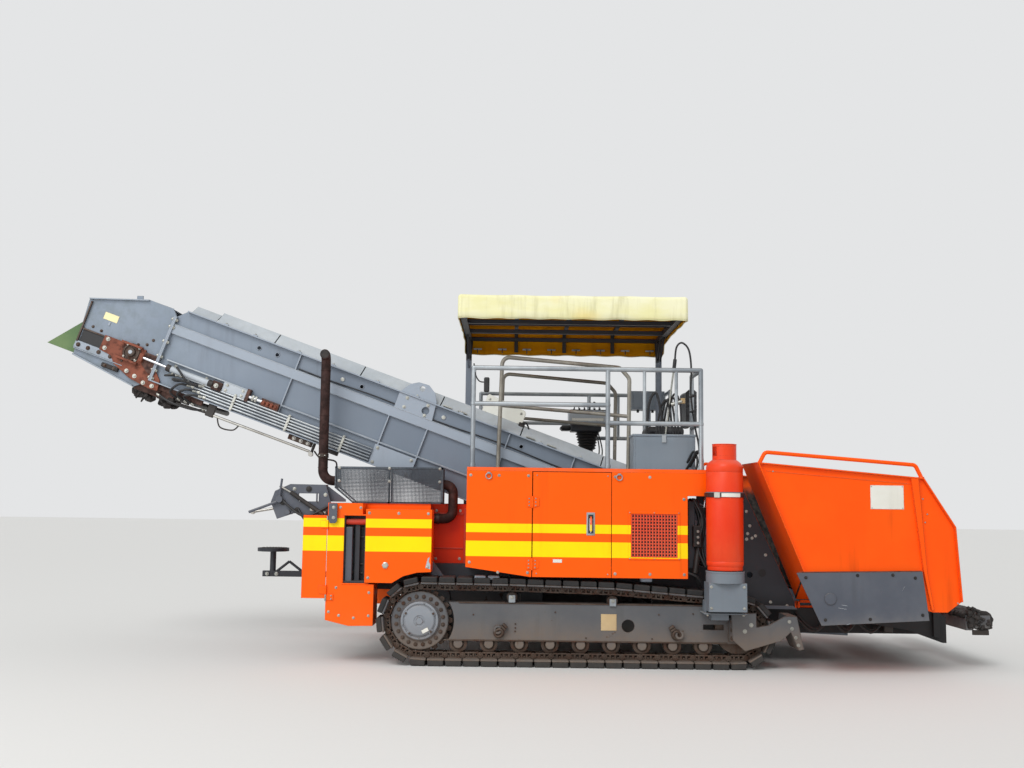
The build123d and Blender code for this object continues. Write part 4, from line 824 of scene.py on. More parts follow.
def makeRollers():
    shape = Shape()
    for side in signs:
        for x in rollers["bottomX"]:
            base = (x, side * rollers["centreY"], rollers["bottomZ"])
            for way in signs:
                shape.lathe([(0.045, 0), (0.052, 0.0), (0.052, 0.02), (0.07, 0.028), (0.07, 0.04),
                    (0.079, 0.043), (0.079, 0.05), (0.073, 0.054), (0.054, 0.0545), (0.05, 0.049),
                    (0.045, 0.049), (0.045, 0)], base, (0, way, 0), 32, 0)
                shape.lathe([(0, 0), (0.044, 0), (0.044, 0.05), (0.038, 0.0545), (0, 0.0545)], base,
                    (0, way, 0), 6, 1)
                shape.rod(Vector(base) + Vector((0, way * 0.052, 0)),
                    Vector(base) + Vector((0, way * 0.0555, 0)), 0.016, 0, 12)
        for x, z in rollers["carriers"]:
            base = (x, side * rollers["centreY"], z)
            for way in signs:
                shape.lathe([(0, 0), (0.038, 0), (0.038, 0.012), (0.047, 0.02), (0.047, 0.05),
                    (0.042, 0.054), (0.02, 0.054), (0.02, 0.0555), (0, 0.0555)], base, (0, way, 0), 28, 0)
    shape.finish("trackRollers", "chassis", "track_steel", "link grimy", "track_rollers")


makeRollers()

frameTrim = {"outerY": -1.175, "eyes": ((-0.04, 0.292, 48), (1.512, 0.292, 125)),
    "tag": (0.851, 0.989, 0.316, 0.459)}


def makeFrameTrim():
    shape = Shape()
    y = frameTrim["outerY"]
    # worn flange lines along the beam's edges
    shape.box((-0.53, y - 0.006, 0.2125), (1.96, y, 0.226))
    shape.box((-0.4, y - 0.006, 0.536), (1.78, y + 0.02, 0.5475))
    for x, z, degrees in frameTrim["eyes"]:
        # a ring on a slanted foot with a square lug beside it
        spot = Matrix.Translation((x, y, z)) @ Matrix.Rotation(radians(-degrees), 4, "Y")
        ring = [(0.036 * cos(a) - 0.006, -0.03 - 0.008 * cos(a), 0.03 * sin(a)) for a in turns(28)]
        shape.tube(ring, 0.0115, 0, 10, spot, closed=True)
        shape.lathe([(0, 0), (0.05, 0), (0.046, 0.012), (0.028, 0.024), (0.022, 0.016), (0, 0.016)],
            (-0.006, 0, 0), near, 28, 0, spot)
        shape.box((0.042, -0.05, -0.026), (0.062, 0.0, 0.03), 0, 0.004, spot)
        shape.box((0.066, -0.05, -0.024), (0.086, 0.0, 0.026), 0, 0.004, spot)
        shape.box((0.056, -0.036, -0.016), (0.074, 0.0, 0.018), 2, 0.003, spot)
    low, high, base, top = frameTrim["tag"]
    shape.box((low, y - 0.003, base), (high, y, top), 1, 0.001)
    # plate and packing that carry the scraper's arm, with its screws
    shape.box((1.963, y - 0.012, 0.235), (1.988, y, 0.455), 3, 0.003)
    shape.box((1.97, y - 0.095, 0.245), (2.0, y - 0.01, 0.45), 3, 0.003)
    for z in (0.275, 0.345, 0.42):
        shape.bolt((1.985, y - 0.095, z), 0.02)
    shape.bolts(((2.091, 0.338), (2.146, 0.392)), -1.292, 0.02, 4)
    shape.bolts(((2.478, 0.425), (2.5, 0.365), (2.533, 0.29), (2.553, 0.225)), -1.2925, 0.017, 4)
    # small screws and weld studs along the frame
    shape.bolts(((0.1, 0.365), (0.1, 0.33), (0.098, 0.3), (-0.27, 0.44), (1.36, 0.46), (1.3, 0.25),
        (1.66, 0.47), (0.72, 0.25), (0.45, 0.47)), y, 0.013, 0, False)
    # carrier brackets' caps
    for x, z in rollers["carriers"]:
        shape.box((x - 0.03, y - 0.02, z - 0.045), (x + 0.03, y, z + 0.022), 5, 0.005)
        shape.bolt((x, y - 0.02, z + 0.002), 0.018, 4)
    shape.mirror()
    shape.finish("frameTrim", "chassis", "grey_paint", "link tan grimy trackGrey zinc galvanised")


makeFrameTrim()
print("running gear made")


# Side bodies: doors, grilles, hinges, handles and corner screws

side = {"faceY": -1.27, "door": (0.241, 0.93, 0.779, 1.695), "hingeX": 0.238, "hingeZ": (0.89, 1.43),
    "latch": (0.735, 0.765, 1.165, 1.325), "grille": (1.103, 1.512, 0.96, 1.338), "bars": (15, 13)}


def makeSideTrim():
    shape = Shape()
    y = side["faceY"]
    # hinges at the door's edge
    for z in side["hingeZ"]:
        shape.rod((side["hingeX"], y - 0.008, z - 0.052), (side["hingeX"], y - 0.008, z + 0.052), 0.0085, 0,
            14)
        shape.box((side["hingeX"] - 0.048, y - 0.006, z - 0.046), (side["hingeX"] - 0.004, y, z + 0.046))
        shape.box((side["hingeX"] + 0.004, y - 0.006, z - 0.046), (side["hingeX"] + 0.042, y, z + 0.046))
        for dz in (-0.03, 0.0, 0.03):
            shape.screw((side["hingeX"] - 0.03, y - 0.006, z + dz), 0.011, 1)
            shape.screw((side["hingeX"] + 0.027, y - 0.006, z + dz), 0.011, 1)
    # corner screws of the fixed panels
    spots = [(-0.31, 0.9), (-0.31, 1.66), (0.2, 0.815), (0.2, 1.66), (0.965, 0.815), (0.965, 1.66),
        (1.57, 0.815), (1.57, 1.47), (-0.06, 1.66), (-0.06, 0.815), (1.27, 0.815), (1.27, 1.66)]
    shape.bolts(spots, y, 0.014, 1)
    # pressed frame round the grille
    x0, x1, z0, z1 = side["grille"]
    for low, high in (((x0 - 0.022, z0 - 0.022), (x1 + 0.022, z0)),
            ((x0 - 0.022, z1), (x1 + 0.022, z1 + 0.022)), ((x0 - 0.022, z0), (x0, z1)),
            ((x1, z0), (x1 + 0.022, z1))):
        shape.box((low[0], y - 0.006, low[1]), (high[0], y + 0.001, high[1]))
    for x in (x0 - 0.011, (x0 + x1) / 2, x1 + 0.011):
        for z in (z0 - 0.011, z1 + 0.011):
            shape.screw((x, y - 0.006, z), 0.009, 1)
    # lashing rings and their lugs under the deck's edge
    for x in (-0.15, 1.0):
        ring = [(x + 0.026 * cos(a), y - 0.012, 1.655 + 0.026 * sin(a)) for a in turns(20)]
        shape.tube(ring, 0.005, 2, 8, closed=True)
        shape.box((x - 0.014, y - 0.018, 1.672), (x + 0.014, y, 1.69), 2, 0.003)
    shape.mirror()
    shape.finish("sideTrim", "chassis", "orange_paint", "striped zinc galvanised")


def makeGrilles():
    shape = Shape()
    x0, x1, z0, z1 = side["grille"]
    y = side["faceY"]
    # square mesh of flat bars before a black sheet, a painted shade for the dark seen through the holes
    for index in range(side["bars"][0] + 1):
        x = x0 + 0.006 + index * (x1 - x0 - 0.012) / side["bars"][0]
        shape.box((x - 0.006, y - 0.001, z0), (x + 0.006, y + 0.004, z1), 0, 0.0012)
    for index in range(side["bars"][1] + 1):
        z = z0 + 0.006 + index * (z1 - z0 - 0.012) / side["bars"][1]
        shape.box((x0, y + 0.003, z - 0.006), (x1, y + 0.008, z + 0.006), 0, 0.0012)
    shape.box((x0, y + 0.013, z0), (x1, y + 0.016, z1), 1, 0)
    shape.mirror()
    shape.finish("sideGrilles", "chassis", "dark_paint", "grille black", "side_grilles")


addPaint("grille", "grilleEnamel", bump=0.1, Paint=(224, 66, 24), Faded=(216, 96, 60), Fading=0.5,
    Gloss=0.45, Edges=0.3, Chips=0.1, Bare=(110, 70, 56), Dust=0.5)
makeGrilles()
makeSideTrim()


def makeDoorTrim(sign):
    shape = Shape()
    y = side["faceY"]
    x0, x1, z0, z1 = side["latch"]
    # recessed dish with its lever and lock
    shape.box((x0 - 0.022, y - 0.004, z0 - 0.02), (x1 + 0.022, y, z1 + 0.02))
    shape.box((x0 - 0.008, y - 0.007, z0 - 0.002), (x1 + 0.008, y - 0.003, z1 + 0.002), 1)
    shape.box((x0 + 0.002, y - 0.026, z0 + 0.02), (x1 - 0.002, y - 0.014, z1 - 0.03), 2, 0.004)
    shape.box((x0 + 0.006, y - 0.02, z1 - 0.045), (x1 - 0.006, y - 0.004, z1 - 0.03), 2)
    shape.rod(((x0 + x1) / 2, y - 0.004, z0 + 0.01), ((x0 + x1) / 2, y - 0.011, z0 + 0.01), 0.007, 2, 16,
        0.001)
    # screws in the corners of the door
    low, high, base, top = side["door"]
    shape.bolts(((low + 0.035, base + 0.03), (high - 0.03, base + 0.03), (low + 0.035, top - 0.03),
        (high - 0.03, top - 0.03)), y, 0.011, 3, False)
    # small blank plate low on the door
    shape.box((0.42, y - 0.0015, 0.905), (0.5, y, 0.935), 4, 0.0005)
    if sign > 0:
        shape.flip()
    shape.finish("doorTrim" + sideWord(sign).title(), sideWord(sign) + "_door", "dark_paint",
        "galvanised black chrome zinc white")


makeDoorTrim(-1)
makeDoorTrim(1)


# Rear: box openings, hinge straps, bay walls and the linkage

rear = {"boxFaceY": -1.2, "opening": (-1.422, -1.2, 0.7, 1.29), "bayY": -0.74, "tankY": -1.222}


def makeRearTrim():
    shape = Shape()
    y = rear["boxFaceY"]
    x0, x1, z0, z1 = rear["opening"]
    # posts, lining and dark gear inside the opening
    shape.box((x0 + 0.01, y + 0.03, z0), (x0 + 0.07, y + 0.1, 1.19), 8, 0.004)
    shape.box((-1.335, y + 0.075, z0), (-1.29, y + 0.11, 1.21), 9, 0.003)
    shape.box((x0 + 0.002, y + 0.13, z0 + 0.002), (x1 - 0.002, y + 0.14, z1 - 0.002), 9, 0)
    shape.box((x0 + 0.002, y + 0.012, z0 + 0.001), (x1 - 0.002, y + 0.13, z0 + 0.02), 9, 0)
    shape.box((x0 + 0.001, y + 0.012, z0 + 0.02), (x0 + 0.008, y + 0.13, z1 - 0.002), 9, 0)
    shape.box((x1 - 0.008, y + 0.012, z0 + 0.02), (x1 - 0.001, y + 0.13, z1 - 0.002), 9, 0)
    shape.rod((x0 + 0.01, y + 0.06, 1.235), (x1 - 0.01, y + 0.06, 1.235), 0.026, 0, 20)
    shape.rod((-1.24, y + 0.09, z0 + 0.02), (-1.24, y + 0.09, 1.2), 0.02, 2, 16)
    for z in (0.78, 0.86, 1.1, 1.18):
        shape.rod((-1.36, y + 0.12, z), (-1.22, y + 0.12, z), 0.011, 2, 10)
    # rolled edge round the opening
    for low, high in (((x0 - 0.012, z0 - 0.012), (x1 + 0.002, z0)),
            ((x0 - 0.012, z1), (x1 + 0.002, z1 + 0.012)), ((x0 - 0.012, z0), (x0, z1))):
        shape.box((low[0], y - 0.005, low[1]), (high[0], y + 0.012, high[1]), 3)
    # hinge straps of the corner box
    for z in (0.576, 1.255):
        shape.box((-1.566, y - 0.007, z - 0.028), (-1.5, y, z + 0.028), 3)
        for dz in (-0.014, 0.014):
            shape.screw((-1.52, y - 0.007, z + dz), 0.013, 4)
        shape.rod((-1.5705, y - 0.0085, z - 0.03), (-1.5705, y - 0.0085, z + 0.03), 0.0075, 4, 12)
    shape.bolts(((-1.54, 0.45), (-1.54, 1.36), (-1.19, 0.42), (-1.45, 0.42), (-1.32, 0.4), (-1.19, 0.62),
        (-1.46, 1.36), (-1.28, 1.36), (-1.48, 0.66)), y, 0.013, 4)
    # tank box: bolts, scraped patch and cap
    y = rear["tankY"]
    shape.bolts(((-1.2, 1.315), (-0.68, 1.315), (-0.68, 0.85), (-1.2, 0.75), (-0.94, 1.315)), y, 0.014, 4)
    shape.plate([(-0.698, 0.842), (-0.655, 0.83), (-0.653, 0.868), (-0.668, 0.9), (-0.66, 0.94),
        (-0.677, 0.925), (-0.686, 0.89)], y - 0.0008, y, 5)
    shape.lathe([(0, 0), (0.03, 0), (0.03, 0.006), (0.022, 0.01), (0.022, 0.018), (0, 0.018)],
        (-1.05, y, 0.86), near, 6, 4)
    # gusset beside the tank box
    shape.plate([(-0.659, 0.76), (-0.545, 0.76), (-0.657, 0.905)], -1.01, -0.995, 8)
    # dark bracket of the linkage, hooked over the box
    shape.plate([(-1.558, 1.397), (-1.484, 1.397), (-1.484, 1.24), (-1.5, 1.222), (-1.545, 1.222),
        (-1.558, 1.25)], y - 0.014, y - 0.001, 8)
    for z in (1.27, 1.36):
        shape.bolt((-1.515, y - 0.014, z), 0.016, 4)
    # grey blocks under the side bodies
    for x in (-0.265, -0.145, 1.2):
        shape.box((x, -1.19, 0.742), (x + 0.1, -1.09, 0.779), 6, 0.006)
    # bay wall: raised folds and bolts
    y = rear["bayY"]
    shape.box((-0.685, y - 0.01, 0.84), (-0.665, y, 1.36), 7)
    shape.box((-0.385, y - 0.01, 0.84), (-0.365, y, 1.36), 7)
    shape.box((-0.66, y - 0.008, 1.3), (-0.39, y, 1.32), 7)
    shape.box((-0.66, y - 0.008, 0.99), (-0.39, y, 1.0), 7)
    shape.bolts(((-0.64, 1.34), (-0.42, 1.34), (-0.64, 0.9), (-0.42, 0.9)), y, 0.014, 4)
    shape.mirror()
    shape.finish("rearTrim", "chassis", "orange_paint",
        "darkRed darkRed grimy striped zinc cover grey darkRed slate dark")


makeRearTrim()

linkage = {"middleY": -0.985, "pivots": ((-1.77, 1.52), (-1.6, 1.33), (-2.0, 1.4), (-1.87, 1.33))}


def makeLinkageTrim():
    shape = Shape()
    for way in signs:
        y = linkage["middleY"] + way * 0.077
        for x, z in linkage["pivots"]:
            shape.lathe([(0, -0.004), (0.026, -0.004), (0.026, 0.006), (0.012, 0.007), (0.012, 0.014),
                (0, 0.014)], (x, y, z), (0, way, 0), 20, 0)
    y = linkage["middleY"]
    # levers, clevises and the short ram
    shape.rod((-2.29, y, 1.308), (-2.05, y, 1.35), 0.012, 1, 14)
    shape.lathe([(0, -0.016), (0.021, -0.016), (0.021, 0.016), (0, 0.016)], (-2.285, y, 1.309), (0, 1, 0),
        20, 1)
    shape.rod((-1.63, y - 0.096, 1.29), (-1.93, y - 0.096, 1.49), 0.019, 0, 16, 0.004)
    shape.rod((-1.93, y - 0.096, 1.49), (-2.03, y - 0.096, 1.545), 0.009, 1, 14)
    shape.box((-1.70, y - 0.1, 1.41), (-1.688, y - 0.078, 1.48), 2)
    # hoses round the linkage
    for start, middle, end, radius in (((-1.6, y - 0.09, 1.3), (-1.75, y - 0.125, 1.22),
            (-1.86, y - 0.09, 1.34), 0.011), ((-1.59, y - 0.09, 1.37), (-1.8, y - 0.12, 1.28),
            (-2.02, y - 0.09, 1.43), 0.011)):
        shape.hose([start, middle, end], 10, radius, 3, 10)
    shape.bolts(((-1.62, 1.31), (-1.62, 1.47), (-1.74, 1.34), (-1.9, 1.52)), y - 0.076, 0.018, 4)
    shape.finish("linkageTrim", "chassis", "grey_paint", "grimy polished slate hose zinc")


makeLinkageTrim()
print("bodies made")


# Boom: trim in its own directions, x up along it, y out to the right, z square above its top edge

boom = {"origin": (0.883, 1.775), "angle": 19.9, "webY": 0.6, "joint": 4.277, "holes": (3.428, 3.242, 2.573,
    2.377, 1.545, 0.76)}


class BoomShape(Shape):
    # along counts up the boom from its foot, below down from its top edge, out from the middle
    def block(self, along, below, out, slot=0, chamfer=0.002):
        self.box((along[0], out[0], -below[1]), (along[1], out[1], -below[0]), slot, chamfer)

    def sheet(self, outline, out, slot=0):
        # outline of (along, below) points
        self.plate([(along, -below) for along, below in outline], out[0], out[1], slot)

    def stud(self, along, below, out, size, slot, facing=(0, 1, 0)):
        self.bolt((along, out, -below), size, slot, facing)

    def studs(self, spots, out, size, slot):
        for along, below in spots:
            self.stud(along, below, out, size, slot)

    def finish(self, name, slot, dress, replaces="", mirrored=True):
        angle, (x, z) = radians(boom["angle"]), boom["origin"]
        self.move(Matrix(((-cos(angle), 0, sin(angle), x), (0, -1, 0, 0), (sin(angle), 0, cos(angle), z),
            (0, 0, 0, 1))))
        if mirrored:
            self.mirror()
        super().finish(name, "boom", slot, dress, replaces)


def makeBoomTrim():
    shape = BoomShape()
    web, joint = boom["webY"], boom["joint"]
    # bolts through the joint's flanges
    for below in (0.125, 0.2, 0.35, 0.5, 0.64, 0.72):
        for along, facing in ((joint + 0.014, (1, 0, 0)), (joint - 0.014, (-1, 0, 0))):
            shape.stud(along, below, web + 0.02, 0.026, 1, facing)
    # pressed rings round the web's holes, some with a plug
    for number, along in enumerate(boom["holes"]):
        shape.lathe([(0.017, 0), (0.026, 0), (0.025, 0.003), (0.019, 0.004), (0.017, 0.002)],
            (along, web, -0.092), (0, 1, 0), 24, 0)
        if number in (2, 4):
            shape.lathe([(0, 0), (0.02, 0), (0.018, 0.006), (0, 0.008)], (along, web, -0.092), (0, 1, 0), 20,
                1)
    # pale strips along the rails' top edges and pale weld seams under them and along the ribs, painted
    # highlights of their lit edges
    shape.block((-1.15, joint - 0.012), (0.162, 0.1675), (web + 0.004, web + 0.029), 2, 0.001)
    shape.block((-1.1, 3.025), (0.519, 0.5245), (web + 0.004, web + 0.029), 2, 0.001)
    shape.block((-1.1, joint - 0.02), (0.255, 0.2585), (web, web + 0.012), 3, 0.001)
    for along in (3.025, 2.033, 1.647, 0.9, 0.25):
        shape.block((along + 0.006, along + 0.01), (0.27, 0.52), (web, web + 0.005), 3, 0.0008)
    # clips of the covers along the top edge
    for along in (0.2, 0.6, 1.05, 1.4, 1.85, 2.25, 2.7, 3.05, 3.5, 3.8):
        shape.block((along - 0.022, along + 0.022), (-0.012, 0.004), (web + 0.01, web + 0.038))
        shape.stud(along, -0.012, web + 0.024, 0.015, 1, (0, 0, 1))
    # screws of the lug plate and of the gusset block
    shape.studs(((1.72, 0.04), (1.93, 0.04), (1.93, 0.13), (1.72, 0.14)), web + 0.026, 0.018, 1)
    shape.studs(((1.68, 0.58), (1.68, 0.72), (2.02, 0.58), (2.02, 0.72)), web + 0.04, 0.018, 1)
    # wiring along the upper strip with clips
    line = [(along, web + 0.012 + 0.004 * sin(along * 9), -0.14 - 0.008 * sin(along * 5))
        for along in (0.3 + 0.1 * index for index in range(28))]
    shape.tube(line, 0.006, 5, 8)
    # short handles at the covers' foot
    for along in (0.45, 0.66, 1.35, 1.5):
        shape.block((along, along + 0.09), (-0.022, -0.01), (web - 0.03, web + 0.012), 1)
    shape.finish("boomTrim", "grey_paint", "grey zinc cover cover grey hose")


def makeHeadTrim():
    shape = BoomShape()
    web = boom["webY"]
    # blank plate and its bracket
    shape.block((4.79, 4.932), (0.283, 0.353), (web, web + 0.0025), 1, 0.0006)
    shape.block((4.845, 4.865), (0.362, 0.4), (web, web + 0.006), 0, 0.001)
    # black plate for the slide slot, a painted shade of its dark opening, with its bolted lower strip
    shape.block((4.70, 5.06), (0.515, 0.628), (web - 0.001, web + 0.004), 2, 0)
    shape.block((4.66, 5.085), (0.5, 0.515), (web, web + 0.014), 3)
    shape.block((4.50, 5.09), (0.632, 0.706), (web, web + 0.016), 0, 0.003)
    for along in (4.6, 4.72, 4.84, 4.95, 5.05):
        shape.stud(along, 0.668, web + 0.016, 0.022, 3)
    shape.block((4.58, 5.08), (0.706, 0.714), (web, web + 0.026), 0, 0.001)
    # lower pad under the head
    shape.block((4.6, 4.77), (0.742, 0.785), (web - 0.06, web + 0.03), 5, 0.008)
    for along in (4.64, 4.73):
        shape.stud(along, 0.763, web + 0.03, 0.018, 3)
    # worn edge at the rear end, and screws
    shape.sheet([(5.082, 0.235), (5.094, 0.236), (5.085, 0.64), (5.07, 0.64)], (web, web + 0.022), 3)
    shape.studs(((4.99, 0.46), (4.9, 0.47), (4.44, 0.44), (4.4, 0.38), (4.52, 0.47)), web, 0.016, 3)
    shape.finish("headTrim", "grey_paint", "grey cream black link grey tar")


def makeTensioners():
    shape = BoomShape()
    web = boom["webY"]
    # rusty slide plates and the raised frame round the drum's bearing
    shape.sheet([(4.84, 0.492), (4.42, 0.492), (4.40, 0.56), (4.31, 0.6), (4.19, 0.715), (4.175, 0.815),
        (4.27, 0.822), (4.47, 0.795), (4.66, 0.72), (4.72, 0.655), (4.845, 0.64)],
        (web + 0.004, web + 0.024), 0)
    shape.sheet([(4.66, 0.478), (4.45, 0.478), (4.45, 0.5), (4.66, 0.5)], (web + 0.02, web + 0.06), 0)
    shape.sheet([(4.66, 0.655), (4.45, 0.655), (4.45, 0.635), (4.66, 0.635)], (web + 0.02, web + 0.06), 0)
    shape.sheet([(4.42, 0.51), (4.29, 0.51), (4.285, 0.69), (4.33, 0.69), (4.41, 0.63)],
        (web + 0.004, web + 0.032), 1)
    shape.lathe([(0, 0.012), (0.088, 0.012), (0.088, 0.03), (0.074, 0.044), (0.066, 0.044), (0.064, 0.034),
        (0.042, 0.034), (0.04, 0.06), (0.032, 0.066), (0, 0.066)], (4.54, web, -0.56), (0, 1, 0), 36, 6)
    shape.lathe([(0, 0.064), (0.02, 0.064), (0.018, 0.072), (0, 0.073)], (4.54, web, -0.56), (0, 1, 0), 20,
        5)
    for degrees in (45, 135, 225, 315):
        shape.stud(4.54 + 0.078 * cos(radians(degrees)), 0.56 + 0.078 * sin(radians(degrees)), web + 0.03,
            0.018, 3)
    shape.studs(((4.24, 0.79), (4.33, 0.79), (4.43, 0.76), (4.52, 0.74), (4.8, 0.52), (4.8, 0.61)),
        web + 0.024, 0.022, 3)
    shape.block((4.405, 4.445), (0.535, 0.615), (web + 0.02, web + 0.075), 0, 0.004)
    # chromed rod, gland, cylinder with its ports
    shape.rod((4.42, web + 0.055, -0.568), (4.13, web + 0.055, -0.575), 0.0135, 4, 20)
    shape.rod((4.165, web + 0.055, -0.5755), (4.12, web + 0.055, -0.5765), 0.034, 2, 24, 0.004)
    shape.rod((4.13, web + 0.055, -0.576), (3.715, web + 0.055, -0.572), 0.0295, 5, 28, 0.003)
    shape.rod((3.74, web + 0.055, -0.572), (3.69, web + 0.055, -0.572), 0.034, 2, 24, 0.004)
    for along in (4.09, 3.77):
        shape.rod((along, web + 0.055, -0.545), (along, web + 0.055, -0.528), 0.013, 3, 6)
        shape.rod((along, web + 0.055, -0.60), (along, web + 0.055, -0.625), 0.012, 3, 6)
    shape.box((3.60, web + 0.03, -0.615), (3.7, web + 0.078, -0.53), 1, 0.006)
    shape.stud(3.655, 0.572, web + 0.078, 0.024, 3)
    # adjusting block, its light cover plate, and the end block with its nuts
    shape.block((3.36, 3.60), (0.51, 0.6), (web, web + 0.062), 5, 0.005)
    shape.studs(((3.4, 0.53), (3.56, 0.53), (3.4, 0.58), (3.56, 0.58)), web + 0.062, 0.016, 3)
    shape.block((3.33, 3.362), (0.49, 0.615), (web, web + 0.075), 1, 0.003)
    shape.rod((3.335, web + 0.045, -0.56), (3.2, web + 0.045, -0.56), 0.019, 4, 20)
    for along in (3.3, 3.27):
        shape.rod((along, web + 0.045, -0.56), (along - 0.02, web + 0.045, -0.56), 0.032, 3, 6, 0.002)
    shape.block((3.03, 3.21), (0.525, 0.605), (web, web + 0.06), 1, 0.004)
    for along in (3.06, 3.1, 3.14, 3.18):
        shape.stud(along, 0.565, web + 0.06, 0.026, 0)
    # guide rail above the cylinder
    shape.block((3.36, 4.2), (0.498, 0.512), (web, web + 0.03), 5)
    shape.finish("tensioners", "track_steel", "orangeRust brownRust grimy zinc chrome cover link",
        "belt_tensioners")


def makePipes():
    shape = BoomShape()
    web = boom["webY"]
    for index in range(5):
        below, end = 0.606 + 0.028 * index, 4.0 - 0.07 * index
        path = [(2.06, web + 0.053, -below), (end, web + 0.053, -below), (end + 0.02, web + 0.048, -below),
            (end + 0.035, web + 0.036, -below + 0.004)]
        shape.tube(path, 0.0098, 0, 12)
        shape.rod((end - 0.012, web + 0.053, -below), (end + 0.016, web + 0.05, -below), 0.0155, 1, 6, 0.001)
    for along in (2.35, 2.9, 3.45):
        shape.block((along - 0.017, along + 0.017), (0.59, 0.737), (web, web + 0.042), 2, 0.003)
        shape.block((along - 0.012, along + 0.012), (0.592, 0.735), (web + 0.063, web + 0.068), 1, 0.001)
        for below in (0.592, 0.662, 0.735):
            shape.stud(along, below, web + 0.066, 0.013, 1)
    shape.finish("boomPipes", "grey_paint", "pipe zinc black", "boom_pipes", mirrored=False)


def makeBoomHoses():
    # short hoses from the pipes' ends to the cylinder and round to the scraper, fixed at both ends
    shape = BoomShape()
    web = boom["webY"]
    routes = []
    for index in range(5):
        below, end = 0.606 + 0.028 * index, 4.03 - 0.07 * index
        if index < 2:
            routes.append([(end, web + 0.045, below), (end + 0.07, web + 0.085, below + 0.03),
                (4.14 - 0.1 * index, web + 0.085, 0.65), (4.09 - 0.32 * index, web + 0.055, 0.625)])
        else:
            routes.append([(end, web + 0.04, below), (end + 0.1, web + 0.06, below + 0.02),
                (end + 0.16, web + 0.04, 0.78), (end + 0.06, web - 0.02, 0.82)])
    routes.append([(4.09, web + 0.055, 0.53), (4.03, web + 0.1, 0.56), (3.9, web + 0.1, 0.64),
        (3.78, web + 0.06, 0.625)])
    routes.append([(4.18, web - 0.02, 0.84), (4.0, web + 0.02, 0.87), (3.8, web, 0.86),
        (3.7, web - 0.05, 0.82)])
    for route in routes:
        path = smoothPath([(along, out, -below) for along, out, below in route], 9)
        shape.tube(path, 0.0105, 0, 10)
        for end in (0, -1):
            step = path[1] if end == 0 else path[-2]
            ferrule = path[end] + (step - path[end]).normalized() * 0.035
            shape.rod(path[end], ferrule, 0.0135, 1, 12, 0.002)
    shape.finish("boomHoses", "belt_rubber", "hose zinc", mirrored=False)


def makeScraperGear():
    shape = BoomShape()
    web = boom["webY"]
    random.seed(5)
    # rusty scraper beam with ragged asphalt on it
    shape.block((3.74, 4.24), (0.748, 0.8), (web - 0.045, web - 0.01), 0, 0.004)
    shape.block((4.02, 4.42), (0.79, 0.872), (web - 0.3, web - 0.04), 0, 0.006)
    for _ in range(30):
        along, size = random.uniform(3.97, 4.42), random.uniform(0.018, 0.045)
        out, below = random.uniform(web - 0.3, web - 0.05), random.uniform(0.85, 0.915)
        lump = Matrix.Translation((along, out, -below)) @ Matrix.Rotation(random.uniform(0, 3), 4,
            (1, 0.6, 0.3))
        shape.box((-size, -size * 0.7, -size * 0.8), (size, size * 0.7, size * 0.8), 1, size * 0.35, lump)
    for along in (4.1, 4.22, 4.3, 4.36):
        shape.rod((along, web - 0.1, -0.86), (along + 0.02, web - 0.1, -0.955 + 0.02 * cos(along * 40)),
            0.02, 1, 8, 0.004, radiusEnd=0.008)
    shape.rod((4.19, -web + 0.02, -0.8), (4.19, web - 0.02, -0.8), 0.036, 0, 20)
    shape.rod((3.8, -web + 0.02, -0.8), (3.8, web - 0.02, -0.8), 0.028, 2, 20)
    # linkage to the long rod under the boom
    shape.block((3.86, 4.0), (0.79, 0.84), (web - 0.05, web - 0.02), 2, 0.005)
    shape.rod((3.98, web - 0.035, -0.86), (3.62, web - 0.035, -0.84), 0.012, 2, 12)
    shape.block((3.60, 3.68), (0.75, 0.87), (web - 0.05, web - 0.015), 2, 0.006)
    shape.rod((3.64, web - 0.032, -0.845), (2.62, web - 0.032, -0.84), 0.0125, 3, 16)
    shape.hose([(3.56, web - 0.03, -0.85), (3.5, web - 0.03, -0.925), (3.38, web - 0.03, -0.91),
        (3.34, web - 0.03, -0.85)], 8, 0.007, 2, 8)
    shape.block((2.62, 2.86), (0.75, 0.8), (web - 0.06, web - 0.01), 4, 0.005)
    for along in (2.66, 2.73, 2.8):
        shape.stud(along, 0.775, web - 0.01, 0.02, 3)
    shape.rod((2.6, web - 0.032, -0.75), (2.6, web - 0.032, -0.87), 0.014, 2, 12, 0.003)
    shape.lathe([(0, -0.02), (0.022, -0.02), (0.022, 0.02), (0, 0.02)], (2.6, web - 0.032, -0.86), (0, 1, 0),
        16, 3)
    shape.block((2.36, 2.5), (0.75, 0.79), (web - 0.06, web - 0.02), 2, 0.004)
    shape.hose([(2.58, web - 0.03, -0.82), (2.5, web - 0.03, -0.86), (2.36, web - 0.03, -0.84),
        (2.32, web - 0.03, -0.9)], 8, 0.008, 2, 8)
    shape.finish("scraperGear", "track_steel", "brownRust tar grimy polished link", "belt_scraper",
        mirrored=False)


